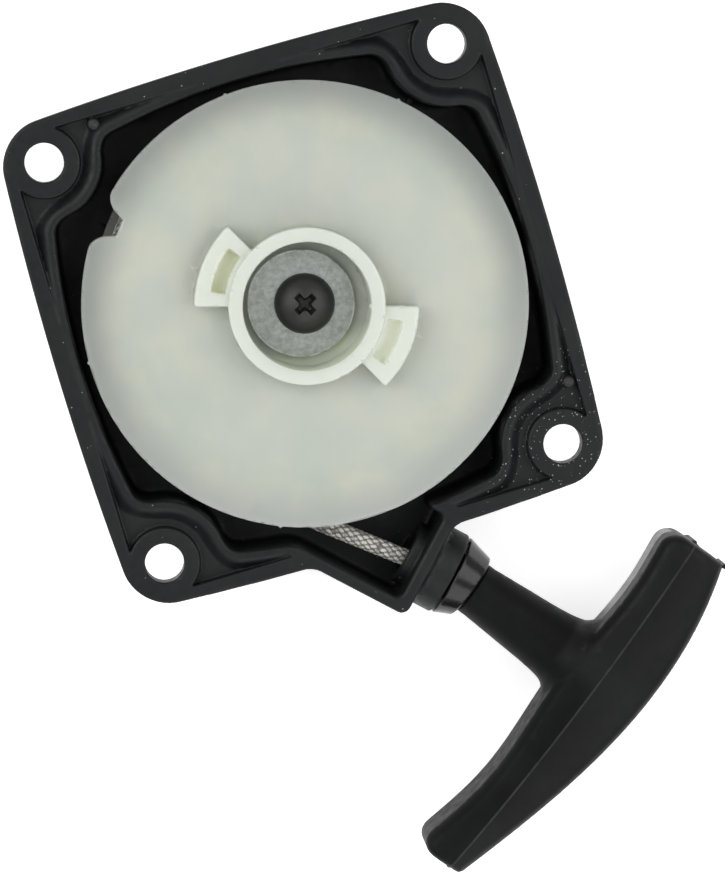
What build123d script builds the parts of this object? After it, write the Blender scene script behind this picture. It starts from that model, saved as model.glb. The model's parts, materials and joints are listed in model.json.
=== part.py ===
"""Recoil starter of a small two-stroke engine: case, rope reel, recoil spring, rope and T-handle.

Frame: the origin is the centre of the four mounting bolts on the case's mounting face. +Z points out of
the open side of the case, towards the engine, so the case lies on its back below z = 0.
All lengths are in millimetres and all angles in degrees.
"""
from build123d import *
import os
from math import acos, atan2, cos, degrees, hypot, radians, sin

os.makedirs("parts", exist_ok=True)

# Mounting flange
HOLE_PITCH = 70.0
HOLE_R = 3.3
HOLE_AT = HOLE_PITCH / 2
PAD_R = 5.9
FLANGE_THICK = 5.0
FLANGE_MIDDLE = 43.1
FLANGE_CORNER = 41.6
FLANGE_CORNER_R = 7.0
SPOUT_CORNER_R = 1.6
RIM_INSIDE = 40.2
RIM_CORNER_R = 5.2
SHELF_DEEP = 1.2
RIDGE_WIDE = 1.3
PEG_R = 1.0
PEG_TALL = 1.3
PEGS = [(-25.3, 38.8), (38.8, -25.2)]

# Bowl of the case
WALL = 2.2
CAVITY_MIDDLE = 39.0
CAVITY_CORNER = 33.9
CAVITY_CORNER_R = 2.6
SPOUT_INNER_CORNER_R = 1.2
BOSS_R = 10.6
BOWL_FLOOR_Z = -13.5
WELL_R = 29.0
WELL_FLOOR_Z = -18.8
BACK_Z = -21.2
BACK_ROUND = 1.8
CORNER_RIB_THICK = 1.1
CORNER_RIB_LONG = 3.4
CORNER_RIB_TALL = 2.4
CORNER_RIB_OVERLAP = 0.4
VENT_COUNT = 16
VENT_INSIDE_R = 32.2
VENT_OUTSIDE_R = 35.2
BACK_RIB_INSIDE_R = 30.0
BACK_RIB_OUTSIDE_R = 38.0
VENT_HALF = 7.5
BACK_RIB_THICK = 1.6
BACK_RIB_TALL = 2.2

# Spindle in the middle of the case, with its insert, washer and screw
SPINDLE_R = 6.0
SPINDLE_TOP_Z = -4.4
SPINDLE_BORE_DEEP = 13.0
INSERT_R = 3.6
INSERT_LONG = 10.0
INSERT_BELOW = 0.3
SEAT_GAP = 0.02
SCREW_R = 2.5
SCREW_GAP = 0.05
SCREW_TIP = (0.5, 0.8)
SCREW_LONG = 12.0
SCREW_HEAD_R = 5.25
SCREW_HEAD_TALL = 3.1
SCREW_HEAD_SIDE = 1.2
SCREW_DOME_AT = (0.74, 0.87)
RECESS_WIDE = 1.15
RECESS_SPAN = 4.3
RECESS_DEEP = 2.2
RECESS_TURN = 28.0
WASHER_R = 9.1
WASHER_HOLE_R = 3.2
WASHER_THICK = 1.5
WASHER_EDGE = 0.2
WASHER_SHIFT = (-0.57, 0.17)

# Rope reel
REEL_R = 37.5
REEL_TOP_Z = 1.5
REEL_RIM_THICK = 2.1
REEL_RIM_LOWER_R = 35.6
REEL_BOTTOM_Z = -9.0
REEL_BOTTOM_RIM = 0.8
GROOVE_Z = -5.5
GROOVE_HALF = 1.9
GROOVE_FLOOR_R = 19.6
CORE_WALL = 1.5
WEB_THICK = 2.2
CUP_R = 10.7
CUP_RING_R = 13.05
CUP_WALL = 1.5
CUP_FRONT_Z = 6.5
CUP_FLOOR_Z = -4.5
CUP_FLOOR_THICK = 3.0
HUB_R = 8.6
HUB_BOTTOM_Z = -17.4
RUNNING_CLEARANCE = 0.06
EAR_OUTSIDE_R = 18.7
EAR_FRONT_Z = 5.6
EAR_TURNS = (141.0, -39.5)
EAR_HALF = 22.7
EAR_POCKET = (13.7, 16.1)
EAR_POCKET_HALF = 14.0
EAR_POCKET_Z = 0.7
EAR_ROOT_Z = 1.1
EAR_ROOT_R = 12.25
NOTCH_TURN = 141.0
NOTCH_FLOOR_R = 33.6
NOTCH_WIDE = 2.9
NOTCH_MOUTH = 7.4
NOTCH_MOUTH_OUT = 38.5
SPOKE_COUNT = 8
SPOKE_THICK = 1.2
SPOKE_BOTTOM_Z = -8.4
SPOKE_OVERLAP = 0.4
SPOKE_TURN = 6.0
HOOK_SLOT_WIDE = 1.6
HOOK_SLOT_WALL = 0.8
HOOK_SLOT_TALL = 7.6

# Recoil spring and its cassette
SPRING_THICK = 0.5
SPRING_TALL = 7.0
SPRING_BOTTOM_Z = -17.5
SPRING_INSIDE_R = 9.4
SPRING_PITCH = 1.9
SPRING_HALF_TURNS = 18
HOOK_LONG = 2.1
SHEET = 0.8
CASSETTE_BOTTOM_Z = -18.7
CASSETTE_R = 28.8
CASSETTE_HOLE_R = 7.6
COVER_HOLE_R = 9.7
COVER_TOP_Z = -9.5
COVER_THICK = 0.6

# Rope, 3 mm braid
ROPE_R = 1.5
ROPE_OUTSIDE_R = 33.5
ROPE_PITCH = 3.08
ROPE_HALF_TURNS = 8
ROPE_BEND_R = 14.0
INNER_BEND_R = 6.0
INNER_BEND_TURN = 80.0
PASSAGE_R = 1.8
ROPE_SPLIT = 0.15
ROPE_PARTING_AT = 2.0
KNOT_OVERLAP = 0.5
REEL_KNOT_R = 2.5
HANDLE_KNOT_R = 3.3

# Rope outlet of the case: n runs out along the outlet, t across it
OUTLET_TURN = -44.5
OUTLET_ACROSS = -29.3
OUTLET_Z = -8.0
SPOUT_OUT = 39.8
SPOUT_ACROSS = (-38.6, -18.0)
SPOUT_INNER_OUT = 37.5
SPOUT_INNER_ACROSS = (-36.4, -20.5)
SPOUT_ROOT = 12.0
OUTLET_BOSS_R = 7.3
OUTLET_BOSS_OUT = 43.9
INNER_BOSS_R = 5.6
INNER_BOSS_OUT = 35.5
BOSS_OVERLAP = 1.0
NOZZLE_SEAT_R = 4.2
NOZZLE_BORE_R = 2.7
NOZZLE_MOUTH_R = 3.6
NOZZLE_FLARE_R = 7.1
NOZZLE_NOSE_R = 5.25
NOZZLE_NOSE_OUT = 49.6
NOZZLE_BACK_OUT = 44.2
NOZZLE_EDGE = 0.2
NOZZLE_FACE = 1.75
NOZZLE_THROAT_OUT = 37.9
ROPE_CORNER_OUT = 47.0

# T-handle: u runs along the handle's axis from the rope's last corner, v across it
HANDLE_TURN = -52.0
SHAFT_START = 2.0
SHAFT_EDGE = 0.5
SHAFT_R = (4.7, 5.7)
SHAFT_FLARE_AT = 16.5
SHAFT_FLARE_R = 7.6
SHAFT_FLARE_MIDDLE = (20.1, 6.4)
SHAFT_END = 22.0
HANDLE_BORE_R = 2.0
KNOT_SEAT = 26.0
TAIL_LONG = 26.2
KNOT_RECESS_R = 4.4
GRIP_INSIDE = [
    (18.81, -41.0),
    (20.44, -34.0),
    (21.87, -27.0),
    (22.39, -20.0),
    (22.2, -13.0),
    (21.92, -5.0),
    (22.4, 4.0),
    (23.16, 12.0),
    (23.07, 20.0),
    (22.41, 28.1),
]
GRIP_OUTSIDE = [
    (27.81, -41.0),
    (30.51, -32.0),
    (33.8, -20.0),
    (36.03, -8.0),
    (37.12, 5.0),
    (36.36, 16.0),
    (33.58, 28.1),
]
GRIP_MOST_OUT = 37.2
GRIP_THICK = 15.0
GRIP_INNER_CORNER_R = 3.4
GRIP_OUTER_CORNER_R = 1.0
GRIP_EDGE_R = 3.0

NOZZLE_PLANE = Plane(
    origin=(
        OUTLET_ACROSS * -sin(radians(OUTLET_TURN)),
        OUTLET_ACROSS * cos(radians(OUTLET_TURN)),
        OUTLET_Z,
    ),
    x_dir=(0, 0, 1),
    z_dir=(cos(radians(OUTLET_TURN)), sin(radians(OUTLET_TURN)), 0),
)
ROPE_CORNER = NOZZLE_PLANE.from_local_coords((0, 0, ROPE_CORNER_OUT))
HANDLE_DIRECTION = Vector(cos(radians(HANDLE_TURN)), sin(radians(HANDLE_TURN)), 0)
HANDLE_PLANE = Plane(origin=ROPE_CORNER, x_dir=HANDLE_DIRECTION, z_dir=(0, 0, 1))
SHAFT_PLANE = Plane(origin=ROPE_CORNER, x_dir=(0, 0, 1), z_dir=HANDLE_DIRECTION)

ROPE_INSIDE_R = ROPE_OUTSIDE_R - ROPE_HALF_TURNS * ROPE_PITCH / 2

# The rope leaves the reel at the tangent that runs through its corner in the nozzle.
TANGENT_TURN = degrees(
    atan2(ROPE_CORNER.Y, ROPE_CORNER.X)
    - acos(ROPE_OUTSIDE_R / hypot(ROPE_CORNER.X, ROPE_CORNER.Y))
)


def polar(radius, turn, z=0.0):
    """The point at this radius and turn about the reel's axis."""
    return Vector(radius * cos(radians(turn)), radius * sin(radians(turn)), z)


def bowed_square(middle, corner):
    """Four arcs that bow out to middle on each axis and meet at corner."""
    for side in range(4):
        start = Vector(-corner, corner).rotate(Axis.Z, 90 * side)
        top = Vector(0, middle).rotate(Axis.Z, 90 * side)
        end = Vector(corner, corner).rotate(Axis.Z, 90 * side)
        ThreePointArc(start, top, end)


def spout(out, across):
    """The rectangle of the spout, from inside the bowl to its outlet wall."""
    turn = radians(OUTLET_TURN)
    length = out - SPOUT_ROOT
    width = across[1] - across[0]
    middle_out = (out + SPOUT_ROOT) / 2
    middle_across = sum(across) / 2
    x = middle_out * cos(turn) - middle_across * sin(turn)
    y = middle_out * sin(turn) + middle_across * cos(turn)
    with Locations(Location((x, y, 0), (0, 0, OUTLET_TURN))):
        Rectangle(length, width)


def near_corner(vertex):
    """True for the four outside corners of the flange."""
    return min(abs(vertex.X), abs(vertex.Y)) > FLANGE_CORNER - 1


def spiral(inside_r, pitch, half_turns, z, start_turn):
    """Half circles whose radius grows by half the pitch each time, counter-clockwise."""
    for half in range(half_turns):
        radius = inside_r + pitch / 4 + half * pitch / 2
        centre_at = -pitch / 4 if half % 2 == 0 else pitch / 4
        centre = polar(centre_at, start_turn, z)
        CenterArc(centre, radius, start_turn + 180 * (half % 2), 180)


def sector(inside_r, outside_r, turn, half):
    """A piece of a ring between two radii, half degrees to each side of turn."""
    with BuildSketch() as piece:
        with BuildLine():
            CenterArc((0, 0), inside_r, turn - half, 2 * half)
            CenterArc((0, 0), outside_r, turn - half, 2 * half)
            Line(polar(inside_r, turn - half), polar(outside_r, turn - half))
            Line(polar(inside_r, turn + half), polar(outside_r, turn + half))
        make_face()
    return piece.sketch


# Case -------------------------------------------------------------------------------------------------

with BuildSketch() as flange_outline:
    with BuildLine():
        bowed_square(FLANGE_MIDDLE, FLANGE_CORNER)
    make_face()
    spout(SPOUT_OUT, SPOUT_ACROSS)
    fillet(flange_outline.vertices().filter_by(near_corner), FLANGE_CORNER_R)
    fillet(flange_outline.vertices().sort_by(Axis.Y)[0], SPOUT_CORNER_R)


def bowl_section(grow):
    """The bowl's inside outline, grown outward all round: a bowed square cut back round the four bolts."""
    with BuildSketch() as section:
        with BuildLine():
            bowed_square(CAVITY_MIDDLE + grow, CAVITY_CORNER + grow)
        make_face()
        with GridLocations(HOLE_PITCH, HOLE_PITCH, 2, 2):
            Circle(BOSS_R - grow, mode=Mode.SUBTRACT)
        fillet(section.vertices(), CAVITY_CORNER_R)
        spout(SPOUT_INNER_OUT + grow, (SPOUT_INNER_ACROSS[0] - grow, SPOUT_INNER_ACROSS[1] + grow))
        fillet(section.vertices().sort_by(Axis.Y)[0], SPOUT_INNER_CORNER_R)
    return section.sketch


cavity_outline = bowl_section(0)

with BuildSketch() as shelf_outline:
    RectangleRounded(2 * RIM_INSIDE, 2 * RIM_INSIDE, RIM_CORNER_R)
    add(bowl_section(RIDGE_WIDE), mode=Mode.SUBTRACT)
    with GridLocations(HOLE_PITCH, HOLE_PITCH, 2, 2):
        Circle(PAD_R, mode=Mode.SUBTRACT)

with BuildPart() as starter_case:
    # flange and bowl
    add(flange_outline.sketch)
    extrude(amount=-FLANGE_THICK)
    with BuildSketch(Plane.XY.offset(-FLANGE_THICK)):
        add(bowl_section(WALL))
    extrude(amount=BOWL_FLOOR_Z - WALL + FLANGE_THICK)
    # round well for the spring cassette, which the case rests on
    with BuildSketch(Plane.XY.offset(BACK_Z)):
        Circle(WELL_R + WALL)
    extrude(amount=BOWL_FLOOR_Z - BACK_Z)
    back_edge = starter_case.faces().sort_by(Axis.Z)[0].edges()
    fillet(back_edge, BACK_ROUND)
    # ribs on the back, from the well to the bowl's edge
    with BuildSketch(Plane.XY.offset(BOWL_FLOOR_Z - WALL)):
        with PolarLocations((BACK_RIB_INSIDE_R + BACK_RIB_OUTSIDE_R) / 2, VENT_COUNT):
            Rectangle(BACK_RIB_OUTSIDE_R - BACK_RIB_INSIDE_R, BACK_RIB_THICK)
    extrude(amount=-BACK_RIB_TALL)
    # cavity and well
    add(cavity_outline)
    extrude(amount=BOWL_FLOOR_Z, mode=Mode.SUBTRACT)
    with BuildSketch(Plane.XY.offset(WELL_FLOOR_Z)):
        Circle(WELL_R)
    extrude(amount=BOWL_FLOOR_Z - WELL_FLOOR_Z, mode=Mode.SUBTRACT)
    # shelf round each bolt pad, between the rim and the cavity's ridge
    with BuildSketch(Plane.XY.offset(-SHELF_DEEP)):
        add(shelf_outline.sketch)
    extrude(amount=SHELF_DEEP, mode=Mode.SUBTRACT)
    # spindle
    with BuildSketch(Plane.XY.offset(WELL_FLOOR_Z)):
        Circle(SPINDLE_R)
    extrude(amount=SPINDLE_TOP_Z - WELL_FLOOR_Z)
    with BuildSketch(Plane.XY.offset(SPINDLE_TOP_Z)):
        Circle(INSERT_R)
    extrude(amount=-SPINDLE_BORE_DEEP, mode=Mode.SUBTRACT)
    # ribs that brace the four corner bosses inside the bowl
    for turn in (45, 135, 225, 315):
        rib_r = HOLE_AT * 2**0.5 - BOSS_R - CORNER_RIB_LONG / 2 + CORNER_RIB_OVERLAP
        rib_at = polar(rib_r, turn, BOWL_FLOOR_Z)
        with BuildSketch(Plane.XY.offset(BOWL_FLOOR_Z)):
            with Locations(Location((rib_at.X, rib_at.Y, 0), (0, 0, turn))):
                Rectangle(CORNER_RIB_LONG, CORNER_RIB_THICK)
        extrude(amount=CORNER_RIB_TALL)
    # outlet boss outside the spout and the guide boss inside it
    with BuildSketch(NOZZLE_PLANE.offset(SPOUT_INNER_OUT)):
        Circle(OUTLET_BOSS_R)
    extrude(amount=OUTLET_BOSS_OUT - SPOUT_INNER_OUT)
    with BuildSketch(NOZZLE_PLANE.offset(INNER_BOSS_OUT)):
        Circle(INNER_BOSS_R)
    extrude(amount=SPOUT_INNER_OUT - INNER_BOSS_OUT + BOSS_OVERLAP)
    with BuildSketch(NOZZLE_PLANE.offset(INNER_BOSS_OUT)):
        Circle(NOZZLE_SEAT_R)
    extrude(amount=OUTLET_BOSS_OUT - INNER_BOSS_OUT, mode=Mode.SUBTRACT)
    # bolt holes, vents and locating pegs
    with GridLocations(HOLE_PITCH, HOLE_PITCH, 2, 2):
        Hole(HOLE_R, depth=FLANGE_THICK)
    with BuildSketch(Plane.XY.offset(BOWL_FLOOR_Z)):
        for vent in range(VENT_COUNT):
            add(sector(VENT_INSIDE_R, VENT_OUTSIDE_R, (vent + 0.5) * 360 / VENT_COUNT, VENT_HALF))
    extrude(amount=-WALL, mode=Mode.SUBTRACT)
    with BuildSketch(Plane.XY.offset(-SHELF_DEEP)):
        with Locations(*PEGS):
            Circle(PEG_R)
    extrude(amount=PEG_TALL)

# Spindle insert, washer and screw ----------------------------------------------------------------------

with BuildPart() as spindle_insert:
    with BuildSketch(Plane.XY.offset(SPINDLE_TOP_Z - INSERT_BELOW)):
        Circle(INSERT_R - SEAT_GAP)
        Circle(SCREW_R + SCREW_GAP, mode=Mode.SUBTRACT)
    extrude(amount=-INSERT_LONG)

with BuildPart() as reel_washer:
    with BuildSketch(Plane.XY.offset(SPINDLE_TOP_Z)):
        with Locations(WASHER_SHIFT):
            Circle(WASHER_R)
            Circle(WASHER_HOLE_R, mode=Mode.SUBTRACT)
    extrude(amount=WASHER_THICK)
    chamfer(reel_washer.faces().sort_by(Axis.Z)[-1].edges(), WASHER_EDGE)

HEAD_Z = SPINDLE_TOP_Z + WASHER_THICK
with BuildPart() as reel_screw:
    with BuildSketch(Plane.XZ):
        with BuildLine():
            Polyline(
                (0, HEAD_Z - SCREW_LONG),
                (SCREW_R - SCREW_TIP[0], HEAD_Z - SCREW_LONG),
                (SCREW_R, HEAD_Z - SCREW_LONG + SCREW_TIP[1]),
                (SCREW_R, HEAD_Z),
                (SCREW_HEAD_R, HEAD_Z),
                (SCREW_HEAD_R, HEAD_Z + SCREW_HEAD_SIDE),
            )
            Spline(
                (SCREW_HEAD_R, HEAD_Z + SCREW_HEAD_SIDE),
                (SCREW_HEAD_R * SCREW_DOME_AT[0], HEAD_Z + SCREW_HEAD_TALL * SCREW_DOME_AT[1]),
                (0, HEAD_Z + SCREW_HEAD_TALL),
                tangents=((0, 1), (-1, 0)),
            )
            Line((0, HEAD_Z + SCREW_HEAD_TALL), (0, HEAD_Z - SCREW_LONG))
        make_face()
    revolve(axis=Axis.Z)
    with BuildSketch(Plane.XY.offset(HEAD_Z + SCREW_HEAD_TALL)):
        with Locations(Location((0, 0, 0), (0, 0, RECESS_TURN))):
            Rectangle(RECESS_SPAN, RECESS_WIDE)
            Rectangle(RECESS_WIDE, RECESS_SPAN)
    extrude(amount=-RECESS_DEEP, mode=Mode.SUBTRACT)

# Rope reel ---------------------------------------------------------------------------------------------


def inner_bend(turn):
    """The rope's last bend, from the wound turns in through the wall of the reel's core."""
    centre = polar(ROPE_INSIDE_R - INNER_BEND_R, TANGENT_TURN, GROOVE_Z)
    return CenterArc(centre, INNER_BEND_R, TANGENT_TURN - turn, turn)


CORE_INSIDE_R = GROOVE_FLOOR_R - CORE_WALL
CUP_BOTTOM_Z = CUP_FLOOR_Z - CUP_FLOOR_THICK
CUP_OUTSIDE_R = CUP_R + CUP_WALL
BORE_R = SPINDLE_R + RUNNING_CLEARANCE
WEB_Z = REEL_TOP_Z - WEB_THICK

with BuildPart() as rope_reel:
    with BuildSketch(Plane.XZ):
        with BuildLine():
            Polyline(
                (BORE_R, HUB_BOTTOM_Z),
                (HUB_R, HUB_BOTTOM_Z),
                (HUB_R, CUP_BOTTOM_Z),
                (CUP_OUTSIDE_R, CUP_BOTTOM_Z),
                (CUP_OUTSIDE_R, WEB_Z),
                (CORE_INSIDE_R, WEB_Z),
                (CORE_INSIDE_R, REEL_BOTTOM_Z),
                (REEL_RIM_LOWER_R, REEL_BOTTOM_Z),
                (REEL_RIM_LOWER_R, REEL_BOTTOM_Z + REEL_BOTTOM_RIM),
                (GROOVE_FLOOR_R, GROOVE_Z - GROOVE_HALF),
                (GROOVE_FLOOR_R, GROOVE_Z + GROOVE_HALF),
                (REEL_R, REEL_TOP_Z - REEL_RIM_THICK),
                (REEL_R, REEL_TOP_Z),
                (CUP_RING_R, REEL_TOP_Z),
                (CUP_RING_R, CUP_FRONT_Z),
                (CUP_R, CUP_FRONT_Z),
                (CUP_R, CUP_FLOOR_Z),
                (BORE_R, CUP_FLOOR_Z),
                close=True,
            )
        make_face()
    revolve(axis=Axis.Z)
    # spokes under the web
    with BuildSketch(Plane.XY.offset(SPOKE_BOTTOM_Z)):
        with PolarLocations((CUP_OUTSIDE_R + CORE_INSIDE_R) / 2, SPOKE_COUNT, TANGENT_TURN + SPOKE_TURN):
            Rectangle(CORE_INSIDE_R - CUP_OUTSIDE_R + 2 * SPOKE_OVERLAP, SPOKE_THICK)
    extrude(until=Until.NEXT)
    # the two catch ears and their pockets
    with BuildSketch(Plane.XY.offset(EAR_ROOT_Z)):
        for turn in EAR_TURNS:
            add(sector(EAR_ROOT_R, EAR_OUTSIDE_R, turn, EAR_HALF))
    extrude(amount=EAR_FRONT_Z - EAR_ROOT_Z)
    with BuildSketch(Plane.XY.offset(EAR_FRONT_Z)):
        for turn in EAR_TURNS:
            add(sector(EAR_POCKET[0], EAR_POCKET[1], turn, EAR_POCKET_HALF))
    extrude(amount=EAR_POCKET_Z - EAR_FRONT_Z, mode=Mode.SUBTRACT)
    # pre-tension notch in the upper flange
    with BuildSketch(Plane.XY.offset(REEL_TOP_Z)):
        with BuildLine():
            Polyline(
                Vector(NOTCH_MOUTH_OUT, NOTCH_MOUTH / 2).rotate(Axis.Z, NOTCH_TURN),
                Vector(NOTCH_FLOOR_R, NOTCH_WIDE / 2).rotate(Axis.Z, NOTCH_TURN),
                Vector(NOTCH_FLOOR_R, -NOTCH_WIDE / 2).rotate(Axis.Z, NOTCH_TURN),
                Vector(NOTCH_MOUTH_OUT, -NOTCH_MOUTH / 2).rotate(Axis.Z, NOTCH_TURN),
                close=True,
            )
        make_face()
    extrude(amount=GROOVE_Z - REEL_TOP_Z, mode=Mode.SUBTRACT)
    # slot for the spring's inner hook
    with BuildSketch(Plane.XY.offset(HUB_BOTTOM_Z)):
        with Locations((HUB_R, 0)):
            Rectangle(2 * (HUB_R - BORE_R - HOOK_SLOT_WALL), HOOK_SLOT_WIDE)
    extrude(amount=HOOK_SLOT_TALL, mode=Mode.SUBTRACT)
    # passage for the rope through the wall of the core
    with BuildLine() as passage:
        inner_bend(INNER_BEND_TURN)
    with BuildSketch(Plane(passage.line @ 0, z_dir=passage.line % 0)):
        Circle(PASSAGE_R)
    sweep(path=passage.line, mode=Mode.SUBTRACT)

# Recoil spring, cassette and cover ---------------------------------------------------------------------

with BuildPart() as spring_cassette:
    with BuildSketch(Plane.XY.offset(CASSETTE_BOTTOM_Z)):
        Circle(CASSETTE_R)
        Circle(CASSETTE_HOLE_R, mode=Mode.SUBTRACT)
    extrude(amount=COVER_TOP_Z - COVER_THICK - CASSETTE_BOTTOM_Z)
    with BuildSketch(Plane.XY.offset(CASSETTE_BOTTOM_Z + SHEET)):
        Circle(CASSETTE_R - SHEET)
    extrude(amount=COVER_TOP_Z - CASSETTE_BOTTOM_Z, mode=Mode.SUBTRACT)

with BuildPart() as spring_cover:
    with BuildSketch(Plane.XY.offset(COVER_TOP_Z - COVER_THICK)):
        Circle(CASSETTE_R)
        Circle(COVER_HOLE_R, mode=Mode.SUBTRACT)
    extrude(amount=COVER_THICK)

SPRING_MIDDLE_Z = SPRING_BOTTOM_Z + SPRING_TALL / 2
SPRING_END_R = SPRING_INSIDE_R + SPRING_HALF_TURNS * SPRING_PITCH / 2
with BuildPart() as recoil_spring:
    with BuildLine() as coil:
        spiral(SPRING_INSIDE_R, SPRING_PITCH, SPRING_HALF_TURNS, SPRING_MIDDLE_Z, 0)
    with BuildSketch(Plane(coil.line @ 0, x_dir=(0, 0, 1), z_dir=coil.line % 0)):
        Rectangle(SPRING_TALL, SPRING_THICK)
    sweep(path=coil.line)
    # the inner hook reaches into the hub's slot, the outer one to the cassette's wall
    with BuildSketch(Plane.XY.offset(SPRING_BOTTOM_Z)):
        with Locations((SPRING_INSIDE_R - HOOK_LONG / 2, SPRING_THICK / 2)):
            Rectangle(HOOK_LONG, SPRING_THICK)
        with Locations((SPRING_END_R + HOOK_LONG / 4, -SPRING_THICK / 2)):
            Rectangle(HOOK_LONG / 2, SPRING_THICK)
    extrude(amount=SPRING_TALL)

# Rope --------------------------------------------------------------------------------------------------

ROPE_OFF_REEL = polar(ROPE_OUTSIDE_R, TANGENT_TURN, GROOVE_Z)
ROPE_START = ROPE_OFF_REEL + (ROPE_CORNER - ROPE_OFF_REEL).normalized() * ROPE_SPLIT
ROPE_PARTING = ROPE_CORNER + HANDLE_DIRECTION * ROPE_PARTING_AT
TAIL_END = ROPE_CORNER + HANDLE_DIRECTION * TAIL_LONG

with BuildPart() as rope_wound:
    with BuildLine() as wound_route:
        inner_bend(INNER_BEND_TURN)
        spiral(ROPE_INSIDE_R, ROPE_PITCH, ROPE_HALF_TURNS, GROOVE_Z, TANGENT_TURN)
    with BuildSketch(Plane(wound_route.line @ 0, z_dir=wound_route.line % 0)):
        Circle(ROPE_R)
    sweep(path=wound_route.line)

with BuildPart() as rope_lead:
    with BuildLine() as lead_route:
        FilletPolyline(ROPE_START, ROPE_CORNER, ROPE_PARTING, radius=ROPE_BEND_R)
    with BuildSketch(Plane(lead_route.line @ 0, z_dir=lead_route.line % 0)):
        Circle(ROPE_R)
    sweep(path=lead_route.line)

with BuildPart() as rope_tail:
    with BuildSketch(SHAFT_PLANE.offset(ROPE_PARTING_AT)):
        Circle(ROPE_R)
    extrude(amount=TAIL_LONG - ROPE_PARTING_AT)

INNER_END = wound_route.line @ 0
INNER_END_DIRECTION = wound_route.line % 0
with BuildPart() as reel_knot:
    with Locations(INNER_END - INNER_END_DIRECTION * (REEL_KNOT_R - KNOT_OVERLAP)):
        Sphere(REEL_KNOT_R)
    split(bisect_by=Plane(INNER_END, z_dir=INNER_END_DIRECTION), keep=Keep.BOTTOM)

with BuildPart() as handle_knot:
    with Locations(TAIL_END + HANDLE_DIRECTION * (HANDLE_KNOT_R - KNOT_OVERLAP)):
        Sphere(HANDLE_KNOT_R)
    split(bisect_by=Plane(TAIL_END, z_dir=HANDLE_DIRECTION), keep=Keep.TOP)

# Outlet nozzle -----------------------------------------------------------------------------------------

with BuildPart() as outlet_nozzle:
    with BuildSketch(Plane.XZ):
        with BuildLine():
            Polyline(
                (NOZZLE_BORE_R, NOZZLE_THROAT_OUT),
                (NOZZLE_MOUTH_R, INNER_BOSS_OUT),
                (NOZZLE_SEAT_R - SEAT_GAP, INNER_BOSS_OUT),
                (NOZZLE_SEAT_R - SEAT_GAP, NOZZLE_BACK_OUT),
                (NOZZLE_FLARE_R - NOZZLE_EDGE, NOZZLE_BACK_OUT),
                (NOZZLE_FLARE_R, NOZZLE_BACK_OUT + NOZZLE_EDGE),
                (NOZZLE_NOSE_R, NOZZLE_NOSE_OUT),
                (NOZZLE_BORE_R, NOZZLE_NOSE_OUT),
                close=True,
            )
        make_face()
    revolve(axis=Axis.Z)
outlet_nozzle.part = Part(NOZZLE_PLANE.from_local_coords(outlet_nozzle.part))
with outlet_nozzle:
    # the nose is faced off square to the handle
    split(bisect_by=SHAFT_PLANE.offset(NOZZLE_FACE), keep=Keep.BOTTOM)

# T-handle ----------------------------------------------------------------------------------------------

with BuildPart() as handle_grip:
    with BuildSketch(HANDLE_PLANE.offset(-GRIP_THICK / 2)) as grip_outline:
        with BuildLine():
            Spline(*GRIP_INSIDE)
            Line(GRIP_INSIDE[-1], GRIP_OUTSIDE[-1])
            Spline(*GRIP_OUTSIDE)
            Line(GRIP_OUTSIDE[0], GRIP_INSIDE[0])
        make_face()
        fillet(grip_outline.vertices().sort_by(Axis.X)[:2], GRIP_INNER_CORNER_R)
        fillet(grip_outline.vertices().sort_by(Axis.X)[-2:], GRIP_OUTER_CORNER_R)
    extrude(amount=GRIP_THICK)
    flat_sides = handle_grip.faces().filter_by(Axis.Z)
    fillet(flat_sides.edges(), GRIP_EDGE_R)
    with BuildSketch(HANDLE_PLANE):
        with BuildLine():
            Polyline(
                (SHAFT_START, 0),
                (SHAFT_START, SHAFT_R[0] - SHAFT_EDGE),
                (SHAFT_START + SHAFT_EDGE, SHAFT_R[0]),
                (SHAFT_FLARE_AT, SHAFT_R[1]),
            )
            ThreePointArc(
                (SHAFT_FLARE_AT, SHAFT_R[1]),
                SHAFT_FLARE_MIDDLE,
                (SHAFT_END, SHAFT_FLARE_R),
            )
            Polyline((SHAFT_END, SHAFT_FLARE_R), (SHAFT_END, 0), (SHAFT_START, 0))
        make_face()
    revolve(axis=Axis(ROPE_CORNER, HANDLE_DIRECTION))
    with BuildSketch(SHAFT_PLANE):
        Circle(HANDLE_BORE_R)
    extrude(amount=KNOT_SEAT + KNOT_OVERLAP, mode=Mode.SUBTRACT)
    with BuildSketch(SHAFT_PLANE.offset(KNOT_SEAT)):
        Circle(KNOT_RECESS_R)
    extrude(amount=GRIP_MOST_OUT - KNOT_SEAT + KNOT_OVERLAP, mode=Mode.SUBTRACT)

PIECES = {
    "starter_case": starter_case,
    "spindle_insert": spindle_insert,
    "reel_washer": reel_washer,
    "reel_screw": reel_screw,
    "rope_reel": rope_reel,
    "spring_cassette": spring_cassette,
    "spring_cover": spring_cover,
    "recoil_spring": recoil_spring,
    "rope_wound": rope_wound,
    "rope_lead": rope_lead,
    "rope_tail": rope_tail,
    "reel_knot": reel_knot,
    "handle_knot": handle_knot,
    "outlet_nozzle": outlet_nozzle,
    "handle_grip": handle_grip,
}
for name, piece in PIECES.items():
    piece.part.label = name
    export_step(piece.part, f"parts/{name}.step")
for name, route in {"wound rope": wound_route, "rope lead": lead_route}.items():
    print(name, round(sum(edge.length for edge in route.edges()), 1), "mm long")
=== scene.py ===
import json
from math import atan2, cos, degrees, hypot, pi, radians, sin

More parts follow.
